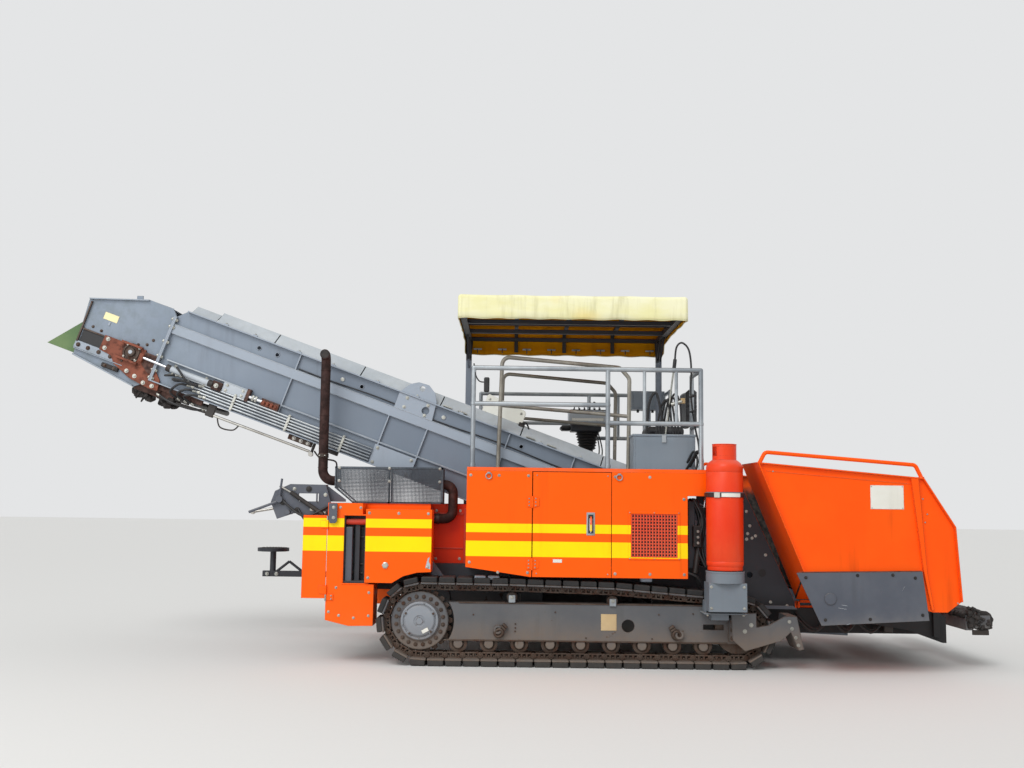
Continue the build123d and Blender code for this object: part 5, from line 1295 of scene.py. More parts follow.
def makeBoomHood():
    # pale folded hood that stands on the covers near the walkway's end
    shape = BoomShape()
    outline = [(1.235, -0.075), (1.235, -0.262), (1.22, -0.28), (0.845, -0.245), (0.83, -0.228),
        (0.83, -0.07)]
    for out in ((0.3, 0.33), (0.46, 0.49)):
        shape.sheet(outline, out, 0)
    shape.sheet([(1.235, -0.262), (1.22, -0.28), (0.845, -0.245), (0.83, -0.228), (0.836, -0.222),
        (0.848, -0.237), (1.216, -0.271), (1.229, -0.258)], (0.33, 0.46), 0)
    shape.block((1.222, 1.235), (-0.262, -0.075), (0.33, 0.46))
    shape.block((0.83, 0.845), (-0.228, -0.07), (0.33, 0.46))
    shape.block((0.8, 0.86), (-0.13, -0.05), (0.45, 0.51), 1, 0.006)
    shape.hose([(0.85, 0.49, 0.1), (0.8, 0.52, 0.14), (0.75, 0.5, 0.09), (0.78, 0.47, 0.05)], 6, 0.008, 2, 8)
    shape.studs(((1.2, -0.1), (1.2, -0.235), (0.87, -0.1), (0.87, -0.21)), 0.49, 0.013, 3)
    shape.finish("boomHood", "cover_sheet", "white grimy hose zinc", mirrored=False)


addSteel("orangeRust", "orangeRust", (136, 74, 52), (98, 54, 41), (70, 43, 36), 0.42, 0.6, 0.2, 12, 0.5, 0.2,
    (140, 110, 84))
addSteel("brownRust", "brownRust", (96, 66, 56), (66, 46, 42), (46, 34, 32), 0.45, 0.62, 0.2, 14, 0.6, 0.2,
    (120, 92, 74))
addPaint("cream", "plateCream", bump=0.1, Paint=(246, 236, 182), Faded=(222, 208, 160), Fading=0.5,
    Gloss=0.45, Edges=0.1, Chips=0.02, Dust=0.1, Spray=0.0)
makeBoomTrim()
makeHeadTrim()
makeTensioners()
makePipes()
makeBoomHoses()
makeScraperGear()
makeBoomHood()
print("boom trim made")


# Silencer guard of square-holed sheet, and the exhaust's seams and clamps

guard = {"x": (-1.556, -0.572), "y": (-0.965, -0.695), "z": (1.4, 1.73), "chamferX": -1.388,
    "chamferZ": 1.536, "pitch": 0.0125, "bar": 0.0042, "sheet": 0.002}


def makeGuard():
    shape = Shape()
    (x0, x1), (y0, y1), (z0, z1) = guard["x"], guard["y"], guard["z"]
    half, sheet, pitch = guard["bar"] / 2, guard["sheet"], guard["pitch"]
    slope = (guard["chamferZ"] - z0) / (x0 - guard["chamferX"])
    edge = 0.016

    def floorAt(x):
        return z0 if x > guard["chamferX"] else z0 + slope * (x - guard["chamferX"])

    for y in (y0, y1 - sheet):
        for index in range(1, int((x1 - x0) / pitch)):
            x = x0 + index * pitch
            shape.box((x - half, y, floorAt(x)), (x + half, y + sheet, z1), 0, 0)
        for index in range(1, int((z1 - z0) / pitch)):
            z = z0 + index * pitch
            start = x0 if z > guard["chamferZ"] else guard["chamferX"] + (z - z0) / slope
            shape.box((start, y, z - half), (x1, y + sheet, z + half), 0, 0)
        # folded margins
        shape.box((x0, y, z1 - edge), (x1, y + sheet * 1.3, z1), 0, 0)
        shape.box((guard["chamferX"], y, z0), (x1, y + sheet * 1.3, z0 + edge), 0, 0)
        shape.box((x0, y, guard["chamferZ"]), (x0 + edge, y + sheet * 1.3, z1), 0, 0)
        shape.box((x1 - edge, y, z0), (x1, y + sheet * 1.3, z1), 0, 0)
        shape.plate([(guard["chamferX"], z0), (guard["chamferX"] + edge, z0),
            (x0 + edge, guard["chamferZ"] + 0.008), (x0, guard["chamferZ"])], y, y + sheet * 1.3, 0)
        # middle seam
        shape.box((-1.07, y, z0), (-1.052, y + sheet * 1.3, z1), 0, 0)
    for index in range(1, int((y1 - y0) / pitch)):
        y = y0 + index * pitch
        shape.box((x0, y - half, z1 - sheet), (x1, y + half, z1), 0, 0)
        for x, low in ((x0, guard["chamferZ"]), (x1 - sheet, z0)):
            shape.box((x, y - half, low), (x + sheet, y + half, z1), 0, 0)
    for index in range(1, int((x1 - x0) / pitch)):
        x = x0 + index * pitch
        shape.box((x - half, y0, z1 - sheet), (x + half, y1, z1), 0, 0)
    for index in range(1, int((z1 - z0) / pitch)):
        z = z0 + index * pitch
        shape.box((x1 - sheet, y0, z - half), (x1, y1, z + half), 0, 0)
        if z > guard["chamferZ"]:
            shape.box((x0, y0, z - half), (x0 + sheet, y1, z + half), 0, 0)
    for x in (x0 + 0.04, -1.061, x1 - 0.03):
        for z in (z0 + 0.2, z1 - 0.012):
            shape.bolt((x, y0, z), 0.014, 1)
    shape.finish("silencerGuard", "chassis", "galvanised", "guard zinc", "silencer_guard")


stack = {"x": -1.69, "y": -0.83, "mouthY": -0.9, "mouthZ": 2.765, "clampZ": 1.83}


def makeExhaustTrim():
    shape = Shape()
    x, y, clampZ = stack["x"], stack["y"], stack["clampZ"]
    mouth = (x, stack["mouthY"], stack["mouthZ"])
    # weld beads and a clamp on the stack
    for z, radius in ((2.62, 0.0455), (2.2, 0.0452), (1.72, 0.0455)):
        shape.lathe([(0.0435, -0.005), (radius + 0.0015, -0.002), (radius + 0.0015, 0.002), (0.0435, 0.005)],
            (x, y, z), (0, 0, 1), 28, 0)
    shape.lathe([(0.0435, -0.02), (0.049, -0.02), (0.049, 0.02), (0.0435, 0.02)], (x, y, clampZ),
        (0, 0, 1), 28, 1)
    shape.box((x - 0.018, y - 0.07, clampZ - 0.015), (x + 0.018, y - 0.044, clampZ + 0.015), 1)
    shape.rod((x - 0.03, y - 0.06, clampZ), (x + 0.03, y - 0.06, clampZ), 0.006, 2, 8)
    # sooty inside of the stack's mouth
    shape.rod(mouth, (x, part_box("exhaust_pipes")[0][1] - 0.0006, mouth[2]), 0.0385, 4, 28)
    # triangular foot plate of the stack
    shape.plate([(-1.619, 1.555), (-1.446, 1.43), (-1.446, 1.41), (-1.63, 1.41)], -0.99, -0.984, 3)
    # clamps round the elbow at the housing's front
    for x, z in ((-0.6, 1.577), (-0.62, 1.265)):
        shape.lathe([(0.0435, -0.014), (0.05, -0.014), (0.05, 0.014), (0.0435, 0.014)], (x, y, z),
            (1, 0, 0), 28, 1)
    shape.finish("exhaustTrim", "chassis", "rust_steel", "exhaust link zinc slate tar")


makeGuard()
makeExhaustTrim()
print("guard and exhaust made")


# Canopy: one stretched sheet over bows, its rope hem and the fittings of its frame

canopy = {"x": (-0.462, 1.655), "y": (-1.0, 0.8), "skirt": 0.222, "round": 0.03,
    "bows": (-0.44, 0.083, 0.6, 1.12, 1.63), "crown": ((-1.0, 3.334), (-0.86, 3.34), (-0.3, 3.3465),
    (0.1, 3.3465), (0.66, 3.322), (0.8, 3.315)), "sag": 0.009}


def crownHeight(y):
    for (y0, z0), (y1, z1) in zip(canopy["crown"], canopy["crown"][1:]):
        if y <= y1:
            break
    share = min(max((y - y0) / (y1 - y0), 0), 1)
    return z0 + (z1 - z0) * share


def sheetPoint(along, across):
    # a point of the flat cut, measured from its middle, laid over the frame
    (x0, x1), (y0, y1), radius = canopy["x"], canopy["y"], canopy["round"]
    flatX, flatY = (x1 - x0) / 2 - radius, (y1 - y0) / 2 - radius
    overX, overY = max(abs(along) - flatX, 0), max(abs(across) - flatY, 0)
    over = max(overX, overY)
    angle = min(over / radius, pi / 2)
    down = radius * (1 - cos(angle)) + max(over - radius * pi / 2, 0)
    out = radius * sin(angle)
    turn = atan2(overY, overX) if overX > 0 and overY > 0 else (0 if overX > 0 else pi / 2)
    signX, signY = (1 if along > 0 else -1), (1 if across > 0 else -1)
    x = min(abs(along), flatX) * signX + (x0 + x1) / 2 + out * cos(turn) * signX * (overX > 0)
    y = min(abs(across), flatY) * signY + (y0 + y1) / 2 + out * sin(turn) * signY * (overY > 0)
    loose = min(down / canopy["skirt"], 1)
    wave = noise.noise((x * 1.7, y * 1.7, 3.1))
    if overY > 0 or overX > 0:
        ripple = 0.0055 * sin(x * 19 + y * 17 + 2.4 * wave) + 0.006 * wave
        if overY >= overX:
            y += signY * (0.003 + loose * ripple * 0.45)
        else:
            x += signX * (0.003 + loose * ripple * 0.45)
    # slack between the bows, less near the edges
    gaps = [(a, b) for a, b in zip(canopy["bows"], canopy["bows"][1:]) if a <= x <= b]
    sag = 0
    if gaps:
        a, b = gaps[0]
        sag = canopy["sag"] * sin(pi * (x - a) / (b - a)) * (0.6 + 0.4 * wave)
    z = crownHeight(min(max(y, y0), y1)) - sag * (1 - 0.6 * loose) - down * (1 + (0.38 if y > 0.6 else 0)
        * loose)
    z += 0.004 * loose * sin(x * 23 + y * 15 + 1.5 * wave) - 0.002
    return Vector((x, y, z))


def makeCanopy():
    (x0, x1), (y0, y1), radius = canopy["x"], canopy["y"], canopy["round"]
    reachX = (x1 - x0) / 2 - radius + radius * pi / 2 + canopy["skirt"] - radius
    reachY = (y1 - y0) / 2 - radius + radius * pi / 2 + canopy["skirt"] - radius

    def stations(reach, flat, count):
        bend = [flat + radius * pi / 2 * step / 5 for step in range(1, 6)]
        drop = [bend[-1] + (reach - bend[-1]) * step / 9 for step in range(1, 10)]
        side = [flat * step / count for step in range(1, count + 1)] + bend + drop
        return [-value for value in reversed(side)] + [0] + side

    alongs = stations(reachX, (x1 - x0) / 2 - radius, 44)
    acrosses = stations(reachY, (y1 - y0) / 2 - radius, 26)
    points = [sheetPoint(along, across) for across in acrosses for along in alongs]
    wide = len(alongs)
    faces = [(row * wide + col, row * wide + col + 1, (row + 1) * wide + col + 1, (row + 1) * wide + col)
        for row in range(len(acrosses) - 1) for col in range(wide - 1)]
    shape = Shape()
    shape.add(points, faces)
    cover = shape.finish("canopyCover", "chassis", "canopy_fabric", "outside inside", "canopy_cover",
        sharp=60, recalc=False)
    thick = cover.modifiers.new("thickness", "SOLIDIFY")
    thick.thickness, thick.offset, thick.material_offset, thick.material_offset_rim = 0.0016, -1.0, 1, 0
    # rope sewn into the lower edge
    last = len(acrosses) - 1
    rim = [points[col] for col in range(wide)] + [points[row * wide + wide - 1]
        for row in range(1, last + 1)]
    rim += [points[last * wide + col] for col in range(wide - 2, -1, -1)]
    rim += [points[row * wide] for row in range(last - 1, 0, -1)]
    thinned = [point for index, point in enumerate(rim) if index % 2 == 0]
    middle = Vector(((x0 + x1) / 2, (y0 + y1) / 2, 0))
    inset = []
    for point in thinned:
        inward = (middle - Vector((point.x, point.y, 0))).normalized()
        inset.append(point + inward * 0.004)
    hemShape = Shape()
    hemShape.tube(inset, 0.0042, 0, 6, closed=True)
    hem = hemShape.finish("canopyHem", "chassis", "canopy_fabric", "outside")
    area = sum(face.area for face in cover.data.polygons)
    2 * reachY
    2 * reachX
    round(min(area, 4 * reachX * reachY), 3)


def addFabric(key, name, light, dark, stain, bleached, rough, **plain):
    g = newMaterial(name, **plain)
    cloud, streak = g.noise(2.2, 5, 0.6, (1, 1, 2.4)), g.noise(9, 5, 0.65, (1, 1, 0.12))
    low = (g.split(g.place)[2] + cloud * 0.1).ramp(3.24, 3.14)
    colour = g.mix(cloud.ramp(0.35, 0.7), light, dark)
    colour = g.mix(streak.ramp(0.48, 0.75) * 0.55, colour, stain)
    colour = g.mix(low * 0.45, colour, stain)
    colour = g.mix(g.noise(1.3, 2, 0.5).ramp(0.56, 0.68) * 0.5, colour, bleached)
    finishMaterial(key, g, colour, rough, g.noise(420, 2, 0.5) * 0.3 + cloud, 0.25, 0.003)


addFabric("outside", "canopyOutside", (236, 234, 198), (228, 224, 168), (176, 170, 122), (238, 206, 92),
    0.75, Sheen_Weight=0.2)
# the underside: the fabric's unfaded yellow, deepened to amber as painted shade under the roof
addFabric("inside", "canopyInside", (232, 160, 0), (206, 132, 0), (150, 92, 0), (236, 170, 0), 0.85,
    Specular_IOR_Level=0.1)
makeCanopy()


def makeCanopyTrim():
    shape = Shape()
    (x0, x1), (y0, y1) = canopy["x"], canopy["y"]
    # long rails under the sheet and hooks that hold the hem
    for y, z in ((-0.93, 3.18), (-0.5, 3.2), (0.0, 3.2), (0.5, 3.19)):
        shape.box((x0 + 0.05, y - 0.012, z), (x1 - 0.05, y + 0.012, z + 0.02))
    for x in canopy["bows"]:
        low, high = max(x - 0.02, x0 + 0.012), min(x + 0.02, x1 - 0.012)
        shape.box((low, y0 + 0.03, 3.215), (high, y1 - 0.03, 3.24))
        shape.box((low, y1 - 0.045, 3.03), (high, y1 - 0.03, 3.22))
        shape.box((low, y0 + 0.035, 3.13), (high, y0 + 0.05, 3.22))
    for index in range(8):
        x = x0 + 0.13 + index * 0.265
        shape.box((x - 0.045, y1 - 0.05, 3.052), (x + 0.045, y1 - 0.03, 3.07), 1)
        shape.hose([(x, y1 - 0.045, 3.06), (x, y1 - 0.075, 3.045), (x, y1 - 0.06, 3.02),
            (x, y1 - 0.045, 3.03)], 5, 0.005, 2, 6)
        if index % 2:
            shape.tube([(x, y0 + 0.06, 3.2), (x, y0 + 0.05, 3.165), (x + 0.02, y0 + 0.05, 3.155)], 0.004, 2,
                6)
    # gussets and stays at the posts
    for x in (x1 - 0.05, x0 + 0.05):
        shape.plate([(x - 0.03, 3.15), (x + 0.03, 3.15), (x + 0.012, 2.9), (x - 0.012, 2.9)], 0.755, 0.763,
            0)
        shape.rod((x, 0.745, 2.95), (x, 0.42, 3.2), 0.013, 0, 12)
        shape.rod((x, -0.1, 3.21), (x, -0.9, 3.19), 0.011, 0, 12)
    shape.finish("canopyTrim", "chassis", "dark_paint", "black galvanised grimy")


makeCanopyTrim()
print("canopy made")


# Operator's seat: a cushion and a backrest that cloth simulation plumps

seat = {"cushion": ((1.372, -0.238, 2.092), (1.74, 0.238, 2.178)), "back": ((1.765, -0.225, 2.19),
    (1.865, 0.225, 2.555))}


def makeCushion(name, low, high, replaced=()):
    shape = Shape()
    shape.box(low, high, 0, 0.024)
    piece = shape.finish(name, "chassis", "seat_vinyl", "vinyl", replaced, sharp=80)
    low, high = Vector(low), Vector(high)
    world = piece.matrix_world.copy()
    bpy.context.view_layer.objects.active = piece
    remesh = piece.modifiers.new("even", "REMESH")
    remesh.mode, remesh.voxel_size = "VOXEL", 0.0055
    puff = piece.modifiers.new("puff", "CLOTH")
    puff.settings.use_pressure = True
    puff.settings.uniform_pressure_force = 4.0
    puff.settings.shrink_min = -0.02
    puff.settings.effector_weights.gravity = 0
    for number in range(1, 21):
        bpy.context.scene.frame_set(number)
    soft = bpy.data.meshes.new_from_object(piece.evaluated_get(bpy.context.evaluated_depsgraph_get()))
    bpy.context.scene.frame_set(1)
    piece.modifiers.clear()
    piece.data = soft
    # keep the plumped cushion within its own box
    inverse = world.inverted()
    for vertex in soft.vertices:
        spot = world @ vertex.co
        spot = Vector([min(max(spot[axis], low[axis] - 0.004), high[axis] + 0.004) for axis in range(3)])
        vertex.co = inverse @ spot
    soft.shade_smooth()
    piece.modifiers.new("finish", "SUBSURF").render_levels = 1
    piece.modifiers["finish"].levels = 1
    return piece


makeCushion("seatCushion", *seat["cushion"], "seat_cushions")
makeCushion("seatBack", *seat["back"])
print("seat made")

console = {"x": (0.66, 1.07), "y": (0.77, 1.07), "column": (0.865, 0.92)}


def makeConsole():
    shape = Shape()
    (x0, x1), (y0, y1) = console["x"], console["y"]
    cx, cy = console["column"]
    # column with a rubber boot
    shape.box((cx - 0.06, cy - 0.05, 1.732), (cx + 0.06, cy + 0.05, 2.06), 1, 0.006)
    shape.box((cx - 0.1, cy - 0.09, 1.732), (cx + 0.1, cy + 0.09, 1.745), 1)
    folds = [(0.0, 2.0)]
    for index in range(7):
        z = 2.0 + index * 0.03
        folds += [(0.075 + 0.006 * index, z), (0.095 + 0.007 * index, z + 0.014)]
    folds.append((0.0, folds[-1][1] + 0.006))
    shape.lathe(folds, (cx, cy, 0), (0, 0, 1), 28, 2)
    # case with its panel, knobs and levers
    shape.box((x0 + 0.02, y0 + 0.02, 2.19), (x1 - 0.06, y1 - 0.02, 2.28), 3, 0.01)
    shape.box((x0, y0, 2.275), (x1, y1, 2.415), 0, 0.012)
    shape.box((x0 + 0.03, y0 - 0.004, 2.30), (x1 - 0.04, y0 + 0.004, 2.33), 4)
    shape.box((x0 + 0.015, y0 + 0.015, 2.412), (x1 - 0.015, y1 - 0.015, 2.424), 1, 0.003)
    for row in range(3):
        for col in range(6):
            spot = (x0 + 0.06 + col * 0.055, y0 + 0.06 + row * 0.06, 2.424)
            height = 0.018 if (row + col) % 3 else 0.04
            shape.rod(spot, (spot[0], spot[1], 2.424 + height), 0.009 if height < 0.03 else 0.006, 1, 10,
                0.002)
    for x, y in ((x0 + 0.06, y0 + 0.24), (x1 - 0.08, y0 + 0.24), (x1 - 0.15, y0 + 0.05)):
        shape.rod((x, y, 2.424), (x + 0.012, y, 2.485), 0.006, 5, 10)
        shape.rod((x + 0.012, y, 2.483), (x + 0.013, y, 2.512), 0.014, 1, 14, 0.006)
    shape.box((x1 - 0.01, y0 + 0.06, 2.22), (x1 + 0.008, y0 + 0.18, 2.38), 4, 0.004)
    # pad at the rear side and wires down the column
    shape.box((x0 - 0.09, y0 + 0.05, 2.2), (x0 + 0.03, y1 - 0.05, 2.255), 2, 0.02)
    for start, end in (((cx + 0.09, cy - 0.06, 2.2), (cx + 0.07, cy - 0.05, 1.76)),
            ((cx + 0.11, cy - 0.03, 2.2), (cx + 0.12, cy - 0.03, 1.75))):
        bend = Vector(((start[0] + end[0]) / 2 + 0.045, start[1] - 0.03, 1.98))
        shape.hose([start, bend, end], 9, 0.007, 2, 8)
    shape.finish("controlConsole", "chassis", "dark_paint", "cover black hose dark white chrome",
        "control_console")


makeConsole()


def makePlatformTrim():
    shape = Shape()
    # locker's lid edge, hinges and latch
    shape.box((1.142, -1.018, 2.035), (1.723, -0.722, 2.058), 0, 0.005)
    for x in (1.25, 1.6):
        shape.box((x - 0.03, -0.73, 2.0), (x + 0.03, -0.722, 2.045), 1)
    shape.box((1.41, -1.024, 1.98), (1.45, -1.01, 2.05), 1, 0.003)
    for x in (1.163, 1.702):
        shape.box((x - 0.008, -1.0125, 1.74), (x + 0.008, -1.01, 2.03), 0, 0.001)
    # panel box: door edge, lock and cable glands
    shape.box((1.36, 0.872, 2.455), (1.68, 0.88, 2.625), 0, 0.003)
    for x in (1.42, 1.5, 1.58):
        shape.rod((x, 0.97, 2.44), (x, 0.97, 2.412), 0.014, 2, 12, 0.002)
    shape.rod((1.655, 0.872, 2.54), (1.655, 0.862, 2.54), 0.009, 1, 12, 0.002)
    # burner lance and its hoses, clipped to the rail and the locker
    shape.rod((1.45, -0.96, 2.056), (1.53, -0.985, 2.7), 0.0085, 3, 12)
    shape.rod((1.527, -0.985, 2.66), (1.537, -0.987, 2.75), 0.017, 2, 14, 0.003)
    loop = [(1.535, -0.987, 2.74), (1.55, -0.99, 2.86), (1.6, -1.0, 2.9), (1.66, -1.01, 2.83),
        (1.68, -1.02, 2.65), (1.67, -1.05, 2.42), (1.7, -1.06, 2.15), (1.735, -1.08, 1.95),
        (1.74, -1.1, 1.74)]
    shape.hose(loop, 10, 0.009, 2, 10)
    other = [(1.44, -0.96, 2.07), (1.4, -0.98, 2.3), (1.36, -0.97, 2.44), (1.3, -0.96, 2.33),
        (1.28, -0.95, 2.06)]
    shape.hose(other, 10, 0.012, 2, 10)
    for offset in (0.0, 0.035, 0.07, 0.11):
        reel = [(1.37 + offset * 0.8, -0.93, 2.06), (1.41 + offset, -0.95, 2.3 + offset),
            (1.47 + offset, -0.97, 2.36), (1.52 + offset * 0.7, -0.98, 2.06)]
        shape.hose(reel, 9, 0.0095, 2, 8)
    shape.rod((1.5, -0.98, 2.33), (1.6, -1.0, 2.36), 0.02, 3, 14, 0.003)
    shape.box((1.585, -1.015, 2.34), (1.625, -0.985, 2.39), 4, 0.004)
    for z in (2.4, 2.26):
        shape.box((1.655, -1.21, z - 0.008), (1.69, -1.04, z + 0.008), 2, 0.003)
    # hoses that pass down through the notch behind the bottle
    for x, y in ((1.7, -1.12), (1.74, -1.16), (1.72, -1.2)):
        line = [(x, y, 1.72), (x + 0.015, y, 1.82), (x - 0.01, y + 0.05, 1.9), (x - 0.06, y + 0.12, 1.8),
            (x - 0.09, y + 0.2, 1.735)]
        shape.hose(line, 8, 0.011, 2, 8)
    # small mirror on a bent arm at the rail's rear post
    shape.hose([(-0.3, -1.2, 2.66), (-0.285, -1.215, 2.56), (-0.25, -1.22, 2.5), (-0.2, -1.22, 2.49)], 7,
        0.006, 2, 8)
    shape.box((-0.208, -1.228, 2.4), (-0.158, -1.208, 2.535), 2, 0.009)
    # rail collars
    for x in (-0.3, 0.903, 1.735):
        for sign in signs:
            shape.lathe([(0.02, -0.02), (0.0265, -0.018), (0.0265, 0.018), (0.02, 0.02)],
                (x, sign * 1.2, 1.752), (0, 0, 1), 20, 1)
            for z in (2.3, 2.14):
                if (x < 0.5) == (z > 2.2) or x == 0.903:
                    shape.lathe([(0.021, -0.012), (0.0245, -0.01), (0.0245, 0.01), (0.021, 0.012)],
                        (x, sign * 1.2, z), (0, 0, 1), 20, 1)
    shape.finish("platformTrim", "chassis", "grey_paint", "locker galvanised hose zinc tan")


makePlatformTrim()
print("platform made")


# Gas bottle with its collar, strap and holder

bottle = {"x": 1.905, "y": -1.385, "radius": 0.159, "foot": 0.866, "shoulder": 1.74, "collar": (1.8, 1.9545),
    "collarRadius": 0.104}


def addArcBand(shape, centre, radius, wall, low, high, start, end, slot, steps=10):
    # a curved strip of a round collar, angles in degrees
    points, faces = [], []
    for index in range(steps + 1):
        angle = radians(start + (end - start) * index / steps)
        for reach in (radius - wall, radius):
            for z in (low, high):
                points.append((centre[0] + reach * cos(angle), centre[1] + reach * sin(angle), z))
    for index in range(steps):
        a, b = index * 4, index * 4 + 4
        faces += [(a, a + 1, b + 1, b), (a + 2, b + 2, b + 3, a + 3), (a + 1, a + 3, b + 3, b + 1),
            (a, b, b + 2, a + 2)]
    if abs(end - start) < 359:
        faces += [(0, 2, 3, 1), (steps * 4, steps * 4 + 1, steps * 4 + 3, steps * 4 + 2)]
    shape.add(points, faces, slot)


def makeBottle():
    shape = Shape()
    x, y, r = bottle["x"], bottle["y"], bottle["radius"]
    foot, shoulder = bottle["foot"], bottle["shoulder"]
    profile = [(0, foot + 0.03), (0.12, foot + 0.03), (0.128, foot), (0.148, foot), (0.15, foot + 0.004),
        (0.15, foot + 0.034), (0.156, foot + 0.042), (r, foot + 0.06), (r, foot + 0.075),
        (r - 0.0025, foot + 0.079), (r, foot + 0.083), (r, shoulder - 0.035), (r - 0.0025, shoulder - 0.031),
        (r, shoulder - 0.027)]
    for step in range(0, 13):
        angle = radians(7.5 * step)
        profile.append((0.032 + (r - 0.032) * cos(angle), shoulder + 0.092 * sin(angle)))
    profile.append((0, shoulder + 0.093))
    shape.lathe(profile, (x, y, 0), (0, 0, 1), 64, 0)
    # collar: foot ring, rolled top ring, and between them walls that leave two hand openings
    low, high = bottle["collar"]
    ring = bottle["collarRadius"]
    addArcBand(shape, (x, y), ring, 0.004, low, low + 0.05, 0, 360, 0, 48)
    addArcBand(shape, (x, y), ring, 0.004, high - 0.024, high - 0.006, 0, 360, 0, 48)
    for start, end in ((-140, 20), (60, 165)):
        addArcBand(shape, (x, y), ring, 0.004, low + 0.05, high - 0.024, start, end, 0, 28)
    circle = [(x + (ring - 0.002) * cos(a), y + (ring - 0.002) * sin(a), high - 0.005) for a in turns(48)]
    shape.tube(circle, 0.005, 0, 8, closed=True)
    # valve with its hand wheel and outlet
    shape.rod((x, y, shoulder + 0.085), (x, y, 1.885), 0.02, 1, 16, 0.003)
    shape.rod((x, y, 1.885), (x, y, 1.92), 0.011, 1, 12)
    shape.lathe([(0, 0), (0.03, 0), (0.034, 0.005), (0.034, 0.012), (0.03, 0.016), (0, 0.012)],
        (x, y, 1.915), (0, 0, 1), 10, 2)
    shape.rod((x, y, 1.866), (x + 0.06, y + 0.02, 1.866), 0.012, 1, 12, 0.002)
    shape.rod((x + 0.055, y + 0.018, 1.866), (x + 0.083, y + 0.027, 1.866), 0.016, 1, 6, 0.002)
    # strap with its buckle, black with a pale stretch
    for low, high, start, end, slot in ((1.492, 1.53, -210, -110, 3), (1.494, 1.527, -110, -48, 4),
            (1.492, 1.53, -48, 150, 3)):
        addArcBand(shape, (x, y), r + 0.0075, 0.003, low, high, start, end, slot, 24)
    place = Matrix.Translation((x - 0.09, y - 0.139, 1.511)) @ Matrix.Rotation(radians(-34), 4, "Z")
    shape.box((-0.028, -0.008, -0.024), (0.028, 0.004, 0.024), 1, 0.003, place)
    for sign, back in ((-1, -1.27), (1, -1.262)):
        shape.box((x + sign * 0.152 - 0.005, -1.36, 1.492), (x + sign * 0.152 + 0.005, back, 1.53), 3, 0.001)
    shape.finish("gasBottle", "chassis", "red_paint", "red zinc black hose white", "gas_bottle")


makeBottle()


def makeHolderTrim():
    shape = Shape()
    # screws and flange of the bottle's bracket box
    for x in (1.765, 2.045):
        for z in (0.55, 0.73):
            shape.bolt((x, -1.5, z), 0.014)
    shape.box((1.72, -1.4, 0.488), (2.09, -1.18, 0.5), 1, 0.003)
    for x in (1.75, 2.06):
        shape.bolt((x, -1.39, 0.488), 0.018, 0, (0, 0, -1))
        shape.box((x - 0.01, -1.32, 0.5), (x + 0.01, -1.2, 0.6), 1, 0.003)
    # hoop that backs the bottle, and its bracket on the side body
    addArcBand(shape, (bottle["x"], bottle["y"]), 0.1665, 0.0045, 0.845, 0.862, 0, 360, 1, 48)
    shape.box((1.76, -1.24, 1.49), (2.05, -1.225, 1.532), 1, 0.003)
    shape.finish("holderTrim", "chassis", "grey_paint", "zinc holder")


makeHolderTrim()


# Dark gear in the gap between the side bodies and the hopper

def makeNotchGear():
    shape = Shape()
    random.seed(21)
    shape.box((1.625, -1.14, 0.86), (1.69, -0.84, 1.46), 0, 0.006)
    shape.box((1.66, -1.2, 1.05), (1.74, -1.02, 1.24), 1, 0.008)
    for z in (1.09, 1.14, 1.19):
        shape.rod((1.7, -1.2, z), (1.7, -1.225, z), 0.013, 2, 6)
    shape.rod((1.68, -1.17, 0.82), (1.77, -1.12, 1.4), 0.028, 1, 20, 0.004)
    shape.rod((1.77, -1.12, 1.38), (1.79, -1.11, 1.5), 0.014, 3, 16)
    for index in range(9):
        y = -1.2 + 0.035 * index
        start = Vector((1.66 + 0.03 * random.random(), y, 1.48))
        path = [start, start + Vector((0.06 + 0.03 * random.random(), -0.01, -0.2)),
            start + Vector((0.01 + 0.05 * random.random(), 0.02, -0.42)),
            start + Vector((0.09 + 0.03 * random.random(), 0, -0.6))]
        shape.hose(path, 8, random.choice((0.009, 0.012, 0.014)), 4, 8)
    # hoses over the track, under the notch
    for index in range(4):
        shape.hose([(1.58, -1.24 + 0.05 * index, 0.84 - 0.01 * index), (1.68, -1.24 + 0.05 * index, 0.8),
            (1.735, -1.2 + 0.04 * index, 0.745 - 0.02 * index)], 8, 0.01, 4, 8)
    shape.mirror()
    shape.finish("notchGear", "chassis", "dark_paint", "dark grimy zinc chrome hose")


makeNotchGear()


support = {"faceY": -0.93}


def makeSupportTrim():
    # screws, a disc and strips on the dark plates that carry the hopper
    shape = Shape()
    y = support["faceY"]
    shape.bolts(((2.12, 1.5), (2.19, 1.37), (2.2, 1.17), (2.19, 1.12), (2.24, 1.13), (2.27, 1.15),
        (2.17, 0.62), (2.4, 0.56), (2.55, 0.53), (2.22, 1.24), (2.36, 0.98)), y, 0.015, 0)
    shape.lathe([(0, 0), (0.034, 0), (0.034, 0.002), (0, 0.002)], (2.327, y, 0.82), near, 28, 1)
    shape.box((2.11, y - 0.012, 0.93), (2.15, y, 1.3), 2, 0.003)
    shape.plate([(2.12, 0.53), (2.6, 0.53), (2.64, 0.5), (2.12, 0.5)], y - 0.02, y, 2)
    shape.mirror()
    shape.finish("supportTrim", "chassis", "dark_paint", "zinc black slate")


makeSupportTrim()


# Hopper wings: blank plate, seam, skirt bolts and boss

wing = {"wallY": -1.5, "skirtY": -1.54, "foldFrom": (2.5595, -1.4985, 0.85), "foldBy": (0.1009, 0.6965, 0.26)}


